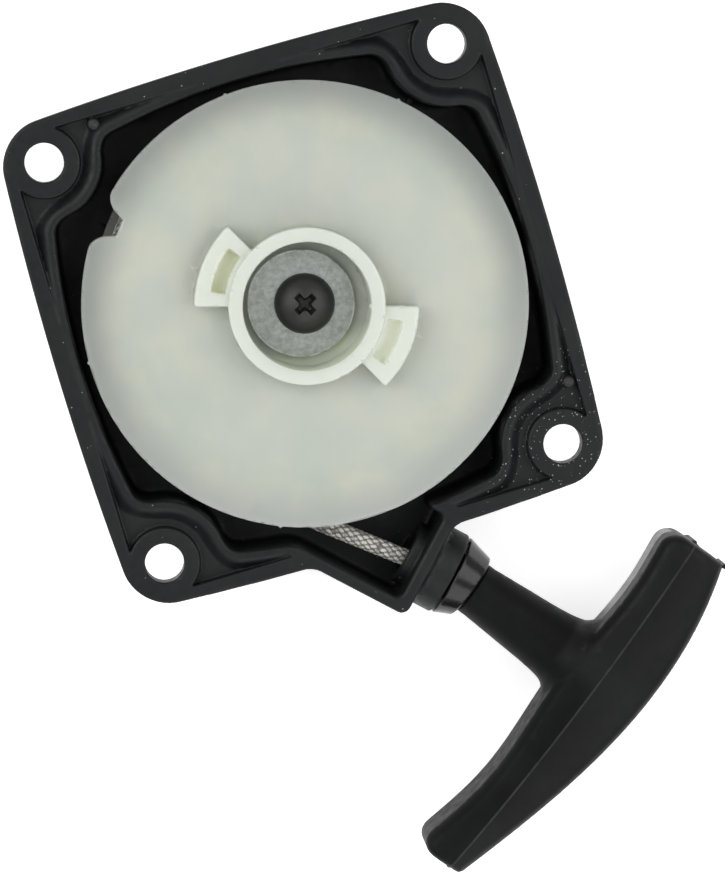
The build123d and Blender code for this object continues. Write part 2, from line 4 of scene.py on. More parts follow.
import bpy
import numpy as np
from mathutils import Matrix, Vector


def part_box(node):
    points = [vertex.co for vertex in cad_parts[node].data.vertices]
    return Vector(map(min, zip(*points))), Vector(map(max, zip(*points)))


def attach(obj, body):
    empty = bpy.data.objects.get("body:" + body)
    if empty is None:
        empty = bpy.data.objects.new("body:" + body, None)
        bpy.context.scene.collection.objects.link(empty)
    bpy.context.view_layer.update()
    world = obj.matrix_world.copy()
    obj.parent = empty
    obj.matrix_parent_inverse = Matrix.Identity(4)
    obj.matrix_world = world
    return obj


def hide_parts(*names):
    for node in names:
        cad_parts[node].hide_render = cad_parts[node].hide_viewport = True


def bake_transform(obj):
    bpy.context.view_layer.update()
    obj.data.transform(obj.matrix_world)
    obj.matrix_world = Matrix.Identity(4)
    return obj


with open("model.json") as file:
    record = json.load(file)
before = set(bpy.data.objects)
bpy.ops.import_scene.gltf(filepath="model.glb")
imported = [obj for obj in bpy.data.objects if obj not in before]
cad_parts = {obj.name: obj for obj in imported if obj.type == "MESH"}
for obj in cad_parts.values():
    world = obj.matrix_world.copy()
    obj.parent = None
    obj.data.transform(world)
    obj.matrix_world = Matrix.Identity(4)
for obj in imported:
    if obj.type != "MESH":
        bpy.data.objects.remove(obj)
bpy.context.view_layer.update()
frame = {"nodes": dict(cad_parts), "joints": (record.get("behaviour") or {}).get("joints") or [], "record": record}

import openvdb
from mathutils import Matrix, Vector

# Shapes are written in millimetres, in the row frame, and turned into metres when a mesh is made.
MM = 0.001
record_mounts = {m["name"]: m for m in frame["record"]["mounts"]}
HOLE_AT = record_mounts["bolts"]["dims"]["spacing_x_mm"] / 2
HOLE_R = record_mounts["bolts"]["dims"]["hole_r_mm"]


def box_mm(node):
    """Lowest and highest corner of a CAD node, in millimetres."""
    low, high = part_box(node)
    return np.array(low) / MM, np.array(high) / MM


# Signed distances ---------------------------------------------------------------------------------------
# A shape is a function of x, y and z that is negative inside it. These join such values with a round edge.

def both(a, b, r=0.25):
    """What is inside a and b, with the edge between them rounded to radius r."""
    return np.minimum(-r, np.maximum(a, b)) + np.hypot(np.maximum(a + r, 0), np.maximum(b + r, 0))


def either(a, b, r=0.25):
    """What is inside a or b, with a fillet of radius r between them."""
    return np.maximum(r, np.minimum(a, b)) - np.hypot(np.maximum(r - a, 0), np.maximum(r - b, 0))


def without(a, b, r=0.25):
    """What is inside a and not inside b."""
    return both(a, -b, r)


def slab(z, low, high):
    return np.abs(z - (low + high) / 2) - (high - low) / 2


def rectangle(x, y, half_x, half_y, r=0.0):
    qx, qy = np.abs(x) - half_x + r, np.abs(y) - half_y + r
    return np.hypot(np.maximum(qx, 0), np.maximum(qy, 0)) + np.minimum(np.maximum(qx, qy), 0) - r


def turned(x, y, turn):
    """x and y in axes turned by this many degrees."""
    c, s = cos(radians(turn)), sin(radians(turn))
    return x * c + y * s, y * c - x * s


def ring_part(x, y, inside, outside, turn, half):
    """A piece of a ring between two radii, half degrees to each side of turn."""
    along, across = turned(x, y, turn)
    r = np.hypot(x, y)
    edge = np.abs(across) * cos(radians(half)) - along * sin(radians(half))
    return np.maximum(np.maximum(inside - r, r - outside), edge)


def bowed_square(x, y, middle, corner, r):
    """Four arcs that bow out to middle on each axis, with corners rounded to radius r."""
    bow = middle - corner
    arc_r = (corner**2 + bow**2) / (2 * bow)
    side = np.hypot(np.abs(x) + arc_r - middle, y) - arc_r
    end = np.hypot(x, np.abs(y) + arc_r - middle) - arc_r
    return both(side, end, r)


def polygon(x, y, points):
    """Signed distance to a closed polygon."""
    distance, sign = np.full(np.broadcast(x, y).shape, 1e9), np.ones(np.broadcast(x, y).shape)
    for (ax, ay), (bx, by) in zip(points, points[1:] + points[:1]):
        ex, ey, wx, wy = bx - ax, by - ay, x - ax, y - ay
        along = np.clip((wx * ex + wy * ey) / (ex * ex + ey * ey), 0, 1)
        distance = np.minimum(distance, np.hypot(wx - ex * along, wy - ey * along))
        crosses = ((ay > y) != (by > y)) & (wx < ex * wy / (ey if ey else 1e-9))
        sign = np.where(crosses, -sign, sign)
    return distance * sign


class Lathe:
    """A turned profile of radius and height, with its corners rounded by about soft millimetres."""

    STEP = 0.05
    MARGIN = 3

    def __init__(self, points, soft):
        reach = np.array(points)
        self.low = reach.min(0) - self.MARGIN
        counts = ((reach.max(0) + self.MARGIN - self.low) / self.STEP).astype(int)
        r, z = (self.low[k] + self.STEP * np.arange(counts[k]) for k in (0, 1))
        table = polygon(r[:, None], z[None, :], points)
        width = max(1, int(soft / self.STEP / 2))
        for _ in range(2):
            table = self.blurred(self.blurred(table, width).T, width).T
        self.table = table

    @staticmethod
    def blurred(table, width):
        padded = np.pad(table, ((width, width), (0, 0)), mode="edge")
        total = np.cumsum(np.vstack([np.zeros((1, padded.shape[1])), padded]), axis=0)
        return (total[2 * width + 1:] - total[:-2 * width - 1]) / (2 * width + 1)

    def __call__(self, r, z):
        r, z = np.broadcast_arrays(r, z)
        shape = self.table.shape
        at_r = np.clip((r - self.low[0]) / self.STEP, 0, shape[0] - 1.001)
        at_z = np.clip((z - self.low[1]) / self.STEP, 0, shape[1] - 1.001)
        i, j = at_r.astype(int), at_z.astype(int)
        u, v = at_r - i, at_z - j
        t = self.table
        near, far = t[i, j] * (1 - u) + t[i + 1, j] * u, t[i, j + 1] * (1 - u) + t[i + 1, j + 1] * u
        return near * (1 - v) + far * v


# Meshes -------------------------------------------------------------------------------------------------

def gradient(shape, points, step=0.04):
    found = []
    for axis in range(3):
        ahead, behind = points.copy(), points.copy()
        ahead[:, axis] += step
        behind[:, axis] -= step
        found.append(shape(*ahead.T) - shape(*behind.T))
    found = np.stack(found, 1)
    return found / np.maximum(np.linalg.norm(found, axis=1, keepdims=True), 1e-9)


def new_piece(name, points, faces, body, replaces=(), normals=None):
    """A mesh object from points in millimetres, riding on a body."""
    mesh = bpy.data.meshes.new(name)
    mesh.from_pydata((points * MM).tolist(), [], faces)
    mesh.validate()
    mesh.shade_smooth()
    if normals is not None:
        mesh.normals_split_custom_set_from_vertices(normals.tolist())
    piece = bpy.data.objects.new(name, mesh)
    bpy.context.scene.collection.objects.link(piece)
    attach(piece, body)
    if replaces:
        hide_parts(*replaces)
    return piece


def moulded(name, shape, low, high, voxel, body, replaces=(), adaptivity=0.05, extra=None):
    """The surface of a signed distance shape inside the box from low to high, as a mesh piece."""
    margin = 3 * voxel
    axes = [np.arange(low[k] - margin, high[k] + margin, voxel, dtype=np.float32) for k in range(3)]
    x, y, z = axes[0][:, None, None], axes[1][None, :, None], axes[2][None, None, :]
    values = np.broadcast_to(shape(x, y, z), [len(a) for a in axes])
    grid = openvdb.FloatGrid(margin)
    grid.copyFromArray(np.ascontiguousarray(np.clip(values, -margin, margin), dtype=np.float32))
    grid.transform = openvdb.createLinearTransform(voxelSize=voxel)
    points, triangles, quads = grid.convertToPolygons(isovalue=0, adaptivity=adaptivity)
    points = points.astype(float) + [float(a[0]) for a in axes]
    for _ in range(2):
        normals = gradient(shape, points)
        points -= normals * np.clip(shape(*points.T), -voxel / 2, voxel / 2)[:, None]
    # the faces run the way that agrees with the shape's own normals
    some_face = (quads if len(quads) else triangles)[0]
    a, b, c = points[some_face[::-1]][:3]
    facing = np.cross(b - a, c - a) @ normals[some_face[0]]
    order = slice(None, None, 1 if facing < 0 else -1)
    faces = triangles[:, order].tolist() + quads[:, order].tolist()
    if extra is not None:
        more_points, more_faces, more_normals = extra
        faces += [tuple(int(k) + len(points) for k in face) for face in more_faces]
        points, normals = np.vstack([points, more_points]), np.vstack([normals, more_normals])
    return new_piece(name, points, faces, body, replaces, normals)


# Sizes that the case, the reel and the handle share -----------------------------------------------------

OUTLET_TURN = -44.5
OUTLET_ACROSS = -29.3
ROPE_R = 1.5
ROPE_Z = -8.0
slide = next(j for j in frame["joints"] if j["name"] == "rope_pull")
swivel = next(j for j in frame["joints"] if j["name"] == "handle_swivel")
PULL = np.array(slide["axis"])
ACROSS = np.array([-PULL[1], PULL[0], 0])
ROPE_CORNER = np.array(swivel["pos_m"]) / MM


def outlet_axes(x, y, z):
    """Distance out along the outlet, across it, and up from its axis."""
    out, across = turned(x, y, OUTLET_TURN)
    return out, across - OUTLET_ACROSS, z - ROPE_Z


# Case ---------------------------------------------------------------------------------------------------

WALL = 2.2
FLANGE_THICK = 5.0
FLANGE_MIDDLE, FLANGE_CORNER, FLANGE_CORNER_R = 43.1, 41.6, 7.0
FLANGE_SPOUT_END, FLANGE_SPOUT_SIDES = 39.8, (-38.6, -18.0)
BOWL_MIDDLE, BOWL_CORNER, BOWL_CORNER_R = 39.0, 33.9, 2.6
BOWL_SPOUT_END, BOWL_SPOUT_SIDES = 37.5, (-36.4, -20.5)
BOWL_FLOOR = -13.5
SPOUT_START = 12.0
BOSS_R, TOP_LEFT_TRIM = 10.5, 0.9
BASE_R, WELL_R, WELL_FLOOR = 31.2, 29.0, -18.8
CASE_BACK = box_mm("starter_case")[0][2]
# ribs and vents on the back
RIB_TURN = 2 * pi / 16
RIB_MIDDLE_R, RIB_HALF_LONG, RIB_HALF_WIDE, RIB_TALL = 34, 4, 0.8, 2.2
VENT_MIDDLE_R, VENT_HALF_WIDE, VENT_HALF_TURN = 33.7, 1.5, 7.5
# outlet: the collar outside, and the raised land round its bore inside
COLLAR_R, COLLAR_START, COLLAR_END, OUTLET_BORE_R = 7.3, 37.0, 43.9, 4.2
LAND_R, LAND_START, LAND_END = 5.6, 35.5, 38.5
# braces behind the bolt bosses, and the post that the reel turns on
BRACE_MIDDLE_R, BRACE_HALF_LONG, BRACE_HALF_WIDE, BRACE_TALL = 38.0, 1.5, 0.55, 1.6
FAR_AWAY = 9.0
POST_R, POST_TOP, POST_BORE_R, POST_BORE_END = 6.0, -4.4, 3.6, -17.4
# recess round each bolt pad: its floor falls away from the ridge along the cavity
RECESS_HALF, RECESS_CORNER_R, RECESS_DEPTH = 40.1, 5.2, 1.75
RIDGE_OUT, RIDGE_DEPTH, RIDGE_STEEP, RIDGE_BLEND = 0.9, 0.12, 0.42, 0.8
PAD_R = 6.0
PEGS = [(-25.3, 38.8), (38.8, -25.2)]
PEG_R, PEG_TOP, DIMPLE_AT, DIMPLE_R = 1.1, 0.35, 0.75, 0.65
GATE = (-30.7, -40.8)


def spout(x, y, end, sides, r, grow=0.0):
    """A rectangle from the middle out along the outlet, between two sides across it."""
    out, across = turned(x, y, OUTLET_TURN)
    end, low, high = end + grow, sides[0] - grow, sides[1] + grow
    return rectangle(
        out - (end + SPOUT_START) / 2, across - (low + high) / 2,
        (end - SPOUT_START) / 2, (high - low) / 2, r)


def top_left(x, y):
    return (x < 0) & (y > 0)


def bowl_edge(x, y, grow=0.0):
    """The cavity's outline at the flange, grown outward: a bowed square cut back round the bolts."""
    edge = bowed_square(x, y, BOWL_MIDDLE + grow, BOWL_CORNER + grow, BOWL_CORNER_R)
    boss_r = BOSS_R - TOP_LEFT_TRIM * top_left(x, y)
    boss = boss_r - grow - np.hypot(np.abs(x) - HOLE_AT, np.abs(y) - HOLE_AT)
    edge = both(edge, boss, BOWL_CORNER_R)
    return either(edge, spout(x, y, BOWL_SPOUT_END, BOWL_SPOUT_SIDES, 1.2, grow), 1.0)


def folded(turn):
    """An angle brought to within half a rib's share of the circle."""
    return turn - RIB_TURN * np.round(turn / RIB_TURN)


def starter_case(x, y, z):
    r = np.hypot(x, y)
    hole = np.hypot(np.abs(x) - HOLE_AT, np.abs(y) - HOLE_AT)
    cavity = bowl_edge(x, y)
    # flange, bowl and base
    flange = bowed_square(x, y, FLANGE_MIDDLE, FLANGE_CORNER, FLANGE_CORNER_R)
    flange = either(flange, spout(x, y, FLANGE_SPOUT_END, FLANGE_SPOUT_SIDES, 1.6), 1.0)
    solid = both(flange, slab(z, -FLANGE_THICK, 0), 0.45)
    solid = either(solid, both(bowl_edge(x, y, WALL), slab(z, BOWL_FLOOR - WALL, -2), 1.4), 0.7)
    solid = either(solid, both(r - BASE_R, slab(z, CASE_BACK, BOWL_FLOOR), 1.8), 1.0)
    # ribs on the back
    turn = np.arctan2(y, x)
    rib_at = folded(turn)
    rib_along, rib_side = r * np.cos(rib_at), r * np.sin(rib_at)
    rib = rectangle(rib_along - RIB_MIDDLE_R, rib_side, RIB_HALF_LONG, RIB_HALF_WIDE, 0.3)
    rib_slab = slab(z, BOWL_FLOOR - WALL - RIB_TALL, BOWL_FLOOR - 1)
    solid = either(solid, both(rib, rib_slab, 0.35), 0.4)
    # outlet collar
    out, across, up = outlet_axes(x, y, z)
    outlet_r = np.hypot(across, up)
    solid = either(solid, both(outlet_r - COLLAR_R, slab(out, COLLAR_START, COLLAR_END), 0.35), 0.8)
    # cavity and well
    hollow = both(cavity, BOWL_FLOOR - z, 0.9)
    solid = without(solid, np.minimum(hollow, both(r - WELL_R, WELL_FLOOR - z, 0.5)), 0.8)
    solid = either(solid, both(outlet_r - LAND_R, slab(out, LAND_START, LAND_END), 0.3), 0.5)
    # braces, none at the top left, and post
    diagonal_x, diagonal_y = turned(np.abs(x), np.abs(y), 45)
    brace = rectangle(diagonal_x - BRACE_MIDDLE_R, diagonal_y, BRACE_HALF_LONG, BRACE_HALF_WIDE, 0.1)
    brace = brace + FAR_AWAY * top_left(x, y)
    solid = either(solid, both(brace, slab(z, BOWL_FLOOR - 1, BOWL_FLOOR + BRACE_TALL), 0.3), 0.4)
    solid = either(solid, both(r - POST_R, slab(z, WELL_FLOOR - 1, POST_TOP), 0.3), 0.6)
    # recess round each bolt pad, between the rim and the rounded ridge along the cavity
    ridge = z + RIDGE_DEPTH + RIDGE_STEEP * (cavity - RIDGE_OUT) ** 2
    floor = either(z + RECESS_DEPTH, ridge, RIDGE_BLEND)
    shelf = both(rectangle(x, y, RECESS_HALF, RECESS_HALF, RECESS_CORNER_R), PAD_R - hole, 0.3)
    shelf = np.maximum(shelf, -np.maximum(spout(x, y, 60, FLANGE_SPOUT_SIDES, 0), -1))
    shelf = both(shelf, 0.35 - cavity, 0.3)
    solid = without(solid, both(shelf, -floor * 0.8, 0.35), 0.32)
    # bores
    solid = np.where(out > 30, without(solid, outlet_r - OUTLET_BORE_R, 0.25), solid)
    solid = without(solid, hole - HOLE_R, 0.3)
    solid = without(solid, np.maximum(r - POST_BORE_R, POST_BORE_END - z), 0.2)
    vent_at = np.abs(folded(turn - RIB_TURN / 2))
    vent = np.maximum(np.abs(r - VENT_MIDDLE_R) - VENT_HALF_WIDE, vent_at * r - radians(VENT_HALF_TURN) * r)
    solid = without(solid, np.maximum(vent, z - BOWL_FLOOR - 1), 0.3)
    # gate mark on the flange's edge
    gate = np.sqrt((x - GATE[0])**2 + ((y - GATE[1]) * 1.3)**2 + ((z + 2.5) / 2)**2) - 0.75
    solid = either(solid, gate, 0.5)
    # locating pegs with a dimple
    for px, py in PEGS:
        peg_r = np.hypot(x - px, y - py)
        peg = both(peg_r - PEG_R, slab(z, -3, PEG_TOP), 0.7)
        solid = either(solid, without(peg, np.hypot(peg_r, z - DIMPLE_AT) - DIMPLE_R, 0.15), 0.2)
    return solid


# Rope reel ----------------------------------------------------------------------------------------------

REEL_R = box_mm("rope_reel")[1][0]
REEL_TOP = 1.5
REEL_BORE_R, HUB_R, HUB_BOTTOM = 6.06, 8.6, -17.4
CUP_IN_R, CUP_OUT_R, CUP_BOTTOM, CUP_TOP = 10.7, 13.05, -4.5, 6.5
CORE_IN_R, CORE_OUT_R, LOWER_FLANGE_R = 18.1, 19.6, 35.6
reel_profile = Lathe([
    (REEL_BORE_R, HUB_BOTTOM), (HUB_R, HUB_BOTTOM), (HUB_R, -7.5), (12.2, -7.5), (12.2, -0.7),
    (CORE_IN_R, -0.7), (CORE_IN_R, -9.0), (LOWER_FLANGE_R, -9.0), (LOWER_FLANGE_R, -8.2),
    (CORE_OUT_R, -7.4), (CORE_OUT_R, -3.6), (37.5, -0.6), (37.5, REEL_TOP), (CUP_OUT_R, REEL_TOP),
    (CUP_OUT_R, CUP_TOP), (CUP_IN_R, CUP_TOP), (CUP_IN_R, CUP_BOTTOM), (REEL_BORE_R, CUP_BOTTOM)], 0.3)
HOOK_SLOT_HALF_LONG, HOOK_SLOT_HALF_WIDE, HOOK_SLOT_TOP = 1.74, 0.8, -9.8
SPOKES, FIRST_SPOKE = 8, -122.1
SPOKE_MIDDLE_R, SPOKE_HALF_LONG, SPOKE_HALF_THICK = 15.15, 3.35, 0.6
EAR_TURNS = (141.0, -39.5)
EAR_IN_R, EAR_OUT_R, EAR_HALF_TURN, EAR_FRONT = 12.0, 18.7, 22.7, 5.6
POCKET_IN_R, POCKET_OUT_R, POCKET_HALF_TURN, POCKET_FLOOR = 13.8, 16.1, 14.0, 3.2
NOTCH_TURN = 141.0
NOTCH_IN_R, NOTCH_HALF_WIDE, NOTCH_FLARE, NOTCH_BOTTOM = 33.6, 1.45, 0.46, -5.5
CUP_NUB, CUP_NUB_R = (10.35, -3.05, 5.7), 0.5
RIM_NUBS = [(-3.0, 37.5), (25.5, 29.5), (-37.3, 1.0), (-15.0, -35.5)]
RIM_NUB_R = 0.32


def ball(x, y, z, centre, radius):
    return np.sqrt((x - centre[0])**2 + (y - centre[1])**2 + (z - centre[2])**2) - radius


def rope_reel(x, y, z):
    r = np.hypot(x, y)
    solid = reel_profile(r, z)
    # slot for the spring's inner hook
    hook_slot = rectangle(x - HUB_R, y, HOOK_SLOT_HALF_LONG, HOOK_SLOT_HALF_WIDE)
    solid = without(solid, both(hook_slot, z - HOOK_SLOT_TOP, 0.1), 0.1)
    for spoke in range(SPOKES):
        along, side = turned(x, y, spoke * 45 + FIRST_SPOKE)
        rib = rectangle(along - SPOKE_MIDDLE_R, side, SPOKE_HALF_LONG, SPOKE_HALF_THICK)
        solid = either(solid, both(rib, slab(z, -8.4, -0.5), 0.2), 0.3)
    # catch ears, each with a pocket
    for turn in EAR_TURNS:
        ear = ring_part(x, y, EAR_IN_R, EAR_OUT_R, turn, EAR_HALF_TURN)
        solid = either(solid, both(ear, slab(z, 1.0, EAR_FRONT), 0.3), 0.35)
    for turn in EAR_TURNS:
        pocket = ring_part(x, y, POCKET_IN_R, POCKET_OUT_R, turn, POCKET_HALF_TURN)
        solid = without(solid, both(pocket, slab(z, POCKET_FLOOR, 9), 0.5), 0.25)
    # notch in the upper flange
    out, side = turned(x, y, NOTCH_TURN)
    notch = np.abs(side) - NOTCH_HALF_WIDE - (out - NOTCH_IN_R) * NOTCH_FLARE
    outline = both(r - REEL_R, -np.maximum(notch, NOTCH_IN_R - out), 2.3)
    solid = both(solid, np.minimum(outline, z - NOTCH_BOTTOM), 0.2)
    # moulding nubs
    solid = either(solid, ball(x, y, z, CUP_NUB, CUP_NUB_R), 0.15)
    for nx, ny in RIM_NUBS:
        scale = (REEL_R - 0.05) / hypot(nx, ny)
        rim_nub = ball(x, y, z - REEL_TOP + 0.3, (nx * scale, ny * scale, 0), RIM_NUB_R)
        solid = either(solid, rim_nub, 0.1)
    return solid


# Washer and screw ---------------------------------------------------------------------------------------

WASHER_LOW, WASHER_HIGH = box_mm("reel_washer")
WASHER_AT = (WASHER_LOW + WASHER_HIGH) / 2
WASHER_R, WASHER_HOLE_R = 9.1, 3.2
SHANK_END = box_mm("reel_screw")[0][2]
HEAD_R = box_mm("reel_screw")[1][0]
HEAD_BASE, HEAD_TOP = WASHER_HIGH[2], box_mm("reel_screw")[1][2]
DOME_R = 7.6
THREAD_R, THREAD_PITCH, THREAD_WAVE = 2.5, 0.8, 0.28
# cross recess: arms that grow narrower and shorter with depth, and a round middle
CROSS_TURN, CROSS_DEPTH = 28, 2.3
ARM_HALF_LONG, ARM_SHORTENS, ARM_HALF_WIDE, ARM_NARROWS = 2.15, 0.32, 0.62, 0.09
MIDDLE_R, MIDDLE_SHRINKS = 1.15, 0.3


def reel_washer(x, y, z):
    r = np.hypot(x - WASHER_AT[0], y - WASHER_AT[1])
    ring = np.maximum(r - WASHER_R, WASHER_HOLE_R - r)
    return both(ring, slab(z, WASHER_LOW[2], WASHER_HIGH[2]), 0.22)


def reel_screw(x, y, z):
    r = np.hypot(x, y)
    dome = np.hypot(r, z - (HEAD_TOP - DOME_R)) - DOME_R
    head = both(both(r - HEAD_R, dome, 1.3), HEAD_BASE - z, 0.2)
    shank = both(r - THREAD_R, slab(z, SHANK_END, HEAD_BASE + 1), 0.5)
    wave = np.cos(2 * pi * z / THREAD_PITCH + np.arctan2(y, x))
    thread = THREAD_R - THREAD_WAVE + THREAD_WAVE * wave
    shank = np.maximum(shank, (r - thread) * 0.7)
    solid = np.minimum(head, shank)
    depth = np.clip(HEAD_TOP - z, -1, 2.6)
    a, b = turned(x, y, CROSS_TURN)
    long, wide = ARM_HALF_LONG - ARM_SHORTENS * depth, ARM_HALF_WIDE - ARM_NARROWS * depth
    arms = np.minimum(rectangle(a, b, long, wide, 0.12), rectangle(b, a, long, wide, 0.12))
    middle = r - MIDDLE_R + MIDDLE_SHRINKS * depth
    recess = both(either(arms, middle, 0.15), HEAD_TOP - CROSS_DEPTH - z, 0.2)
    return without(solid, recess, 0.12)


# Outlet nozzle ------------------------------------------------------------------------------------------

# radius and distance out along the outlet
nozzle_profile = Lathe([
    (2.7, 37.9), (3.6, 35.5), (4.15, 35.5), (4.15, 44.2), (6.95, 44.2), (7.1, 44.4), (5.2, 49.8),
    (2.7, 49.8)], 0.15)
NOZZLE_FACE = 1.25      # u of its front face, which is square to the handle and not to the outlet


def outlet_nozzle(x, y, z):
    out, across, up = outlet_axes(x, y, z)
    u, _, _ = handle_axes(x, y, z)
    return both(nozzle_profile(np.hypot(across, up), out), u - NOZZLE_FACE, 0.3)


# T-handle -----------------------------------------------------------------------------------------------

def handle_axes(x, y, z):
    """u along the handle's axis from the rope's corner, v across it, w up."""
    dx, dy = x - ROPE_CORNER[0], y - ROPE_CORNER[1]
    return dx * PULL[0] + dy * PULL[1], dx * ACROSS[0] + dy * ACROSS[1], z - ROPE_CORNER[2]


GRIP_LEFT, GRIP_RIGHT = -41.0, 28.1
GRIP_HALF = 7.5
GRIP_CROWN = 1.1
GRIP_BEVEL = 1.0
FLASH_AT = [(25.6, GRIP_LEFT + 0.1), (27.5, GRIP_RIGHT + 0.1), (34.2, GRIP_RIGHT - 0.2)]
FLASH_R, FLASH_HALF = 0.45, 4.6
# the shaft's radius grows a little along it, and more where it meets the grip
SHAFT_START, SHAFT_END, SHAFT_R = 1.5, 24, 4.7
TAPER_FROM, TAPER_LONG, TAPER_GROWS = 3, 13.5, 1.0
FLARE_FROM, FLARE_LONG, FLARE_GROWS = 15, 7, 1.2
HANDLE_BORE_R, KNOT_BORE_R, KNOT_BORE_FROM = 2.0, 4.4, 26
# the parting line's u along v, and its section
LINE_AT, LINE_LEAN, LINE_BOW, LINE_MIDDLE = 27.75, 0.025, 0.00095, -5.0
LINE_R, LINE_SUNK, LINE_SIDES = 0.16, 0.06, 8
# u of the grip's inner and outer edges, as smooth curves through places along v
INNER_EDGE = np.polyfit(
    [-41, -34, -27, -20, -13, -5, 4, 12, 20, 28.1],
    [18.81, 20.44, 21.87, 22.39, 22.2, 21.92, 22.4, 23.16, 23.07, 22.41], 7)
OUTER_EDGE = np.polyfit(
    [-41, -32, -20, -8, 5, 16, 28.1],
    [27.81, 30.51, 33.8, 36.03, 37.12, 36.36, 33.58], 5)


def past_edge(u, v, curve):
    """About the distance from a curve u(v), positive where u is greater."""
    at = np.clip(v, GRIP_LEFT - 1, GRIP_RIGHT + 1)
    return (u - np.polyval(curve, at)) / np.sqrt(1 + np.polyval(np.polyder(curve), at) ** 2)


def grip_height(u, v):
    """Half thickness of the grip: crowned between its inner and outer edges."""
    inner, outer = -past_edge(u, v, INNER_EDGE), past_edge(u, v, OUTER_EDGE)
    share = np.clip((inner - outer) / (np.abs(inner) + np.abs(outer) + 1e-6), -1, 1)
    return GRIP_HALF - GRIP_CROWN * share**2


def handle_grip(x, y, z):
    u, v, w = handle_axes(x, y, z)
    inner, outer = -past_edge(u, v, INNER_EDGE), past_edge(u, v, OUTER_EDGE)
    ends = np.maximum(GRIP_LEFT - v, v - GRIP_RIGHT)
    outline = np.maximum(both(inner, ends, 3.4), both(outer, ends, 0.8))
    solid = both(outline, np.abs(w) - grip_height(u, v), 1.7)
    solid = both(solid, (inner + np.abs(w) - grip_height(u, v) + GRIP_BEVEL) * 0.707, 0.4)
    # flash on the ends
    for flash_u, flash_v in FLASH_AT:
        flash = both(np.hypot(u - flash_u, v - flash_v) - FLASH_R, np.abs(w) - FLASH_HALF, 0.25)
        solid = either(solid, flash, 0.3)
    # shaft, with a wider fillet at its sides than on the grip's faces
    r = np.hypot(v, w)
    taper = np.clip((u - TAPER_FROM) / TAPER_LONG, 0, 1) * TAPER_GROWS
    flare = np.clip((u - FLARE_FROM) / FLARE_LONG, 0, 1) ** 2 * FLARE_GROWS
    shaft = both(r - (SHAFT_R + taper + flare), slab(u, SHAFT_START, SHAFT_END), 0.35)
    solid = either(solid, shaft, 0.7 + 1.5 * np.clip((5.5 - np.abs(w)) / 3, 0, 1))
    # bores for the rope and its knot
    solid = without(solid, np.where(u < KNOT_BORE_FROM + 4, r - HANDLE_BORE_R, FAR_AWAY), 0.3)
    return without(solid, both(r - KNOT_BORE_R, KNOT_BORE_FROM - u, 0.3), 0.4)


def parting_line():
    """The fine raised line along both faces of the grip, as points, faces and normals."""
    v = np.arange(GRIP_LEFT + 0.7, GRIP_RIGHT - 0.4, 0.25)
    u = LINE_AT + LINE_LEAN * v - LINE_BOW * (v - LINE_MIDDLE) ** 2
    theta = np.arange(LINE_SIDES) * 2 * pi / LINE_SIDES
    points, faces, normals = [], [], []
    for side in (1, -1):
        low, high = np.full(len(v), 4.8), np.full(len(v), GRIP_HALF + 1)
        for _ in range(24):
            middle = (low + high) / 2
            place = ROPE_CORNER + u[:, None] * PULL + v[:, None] * ACROSS
            place = place + np.outer(side * middle, (0, 0, 1))
            inside = handle_grip(*place.T) < 0
            low, high = np.where(inside, middle, low), np.where(inside, high, middle)
        place[:, 2] -= side * LINE_SUNK
        for k, centre in enumerate(place):
            ring = np.cos(theta)[:, None] * PULL + np.sin(theta)[:, None] * np.array((0, 0, 1.0))
            base = len(points)
            points.extend(centre + LINE_R * ring)
            normals.extend(ring)
            if k:
                before = base - LINE_SIDES
                for n in range(LINE_SIDES):
                    m = (n + 1) % LINE_SIDES
                    faces.append((before + n, base + n, base + m, before + m))
        first, last = len(points) - LINE_SIDES * len(v), len(points) - LINE_SIDES
        faces.append(tuple(first + n for n in range(LINE_SIDES)))
        faces.append(tuple(last + n for n in range(LINE_SIDES))[::-1])
    return np.array(points), faces, np.array(normals)


# Rope ---------------------------------------------------------------------------------------------------

STRANDS = 8
BRAID_RISE = 0.56       # strands passed for each millimetre along the rope
BRAID_RELIEF = 0.22
NOT_ALONG = (0.13, 0.21, 0.97)      # a direction that no rope starts along


def braid(theta, along):
    """The strands' height from 0 to 1, and a tone for each stretch of strand, on the rope's surface."""
    p = theta * STRANDS / (2 * pi) + along * BRAID_RISE
    q = theta * STRANDS / (2 * pi) - along * BRAID_RISE
    over = (np.floor(p) + np.floor(q)) % 2 < 0.5
    p_mid, q_mid = np.sin(pi * (p % 1)), np.sin(pi * (q % 1))
    height = np.where(over, p_mid * (0.55 + 0.45 * q_mid), q_mid * (0.55 + 0.45 * p_mid))
    strand = np.where(over, np.floor(p) * 3 + np.floor(q) * 7, np.floor(q) * 5 - np.floor(p) * 11 + 2)
    return height, np.abs(np.sin(strand * 12.9898) * 43758.5453) % 1


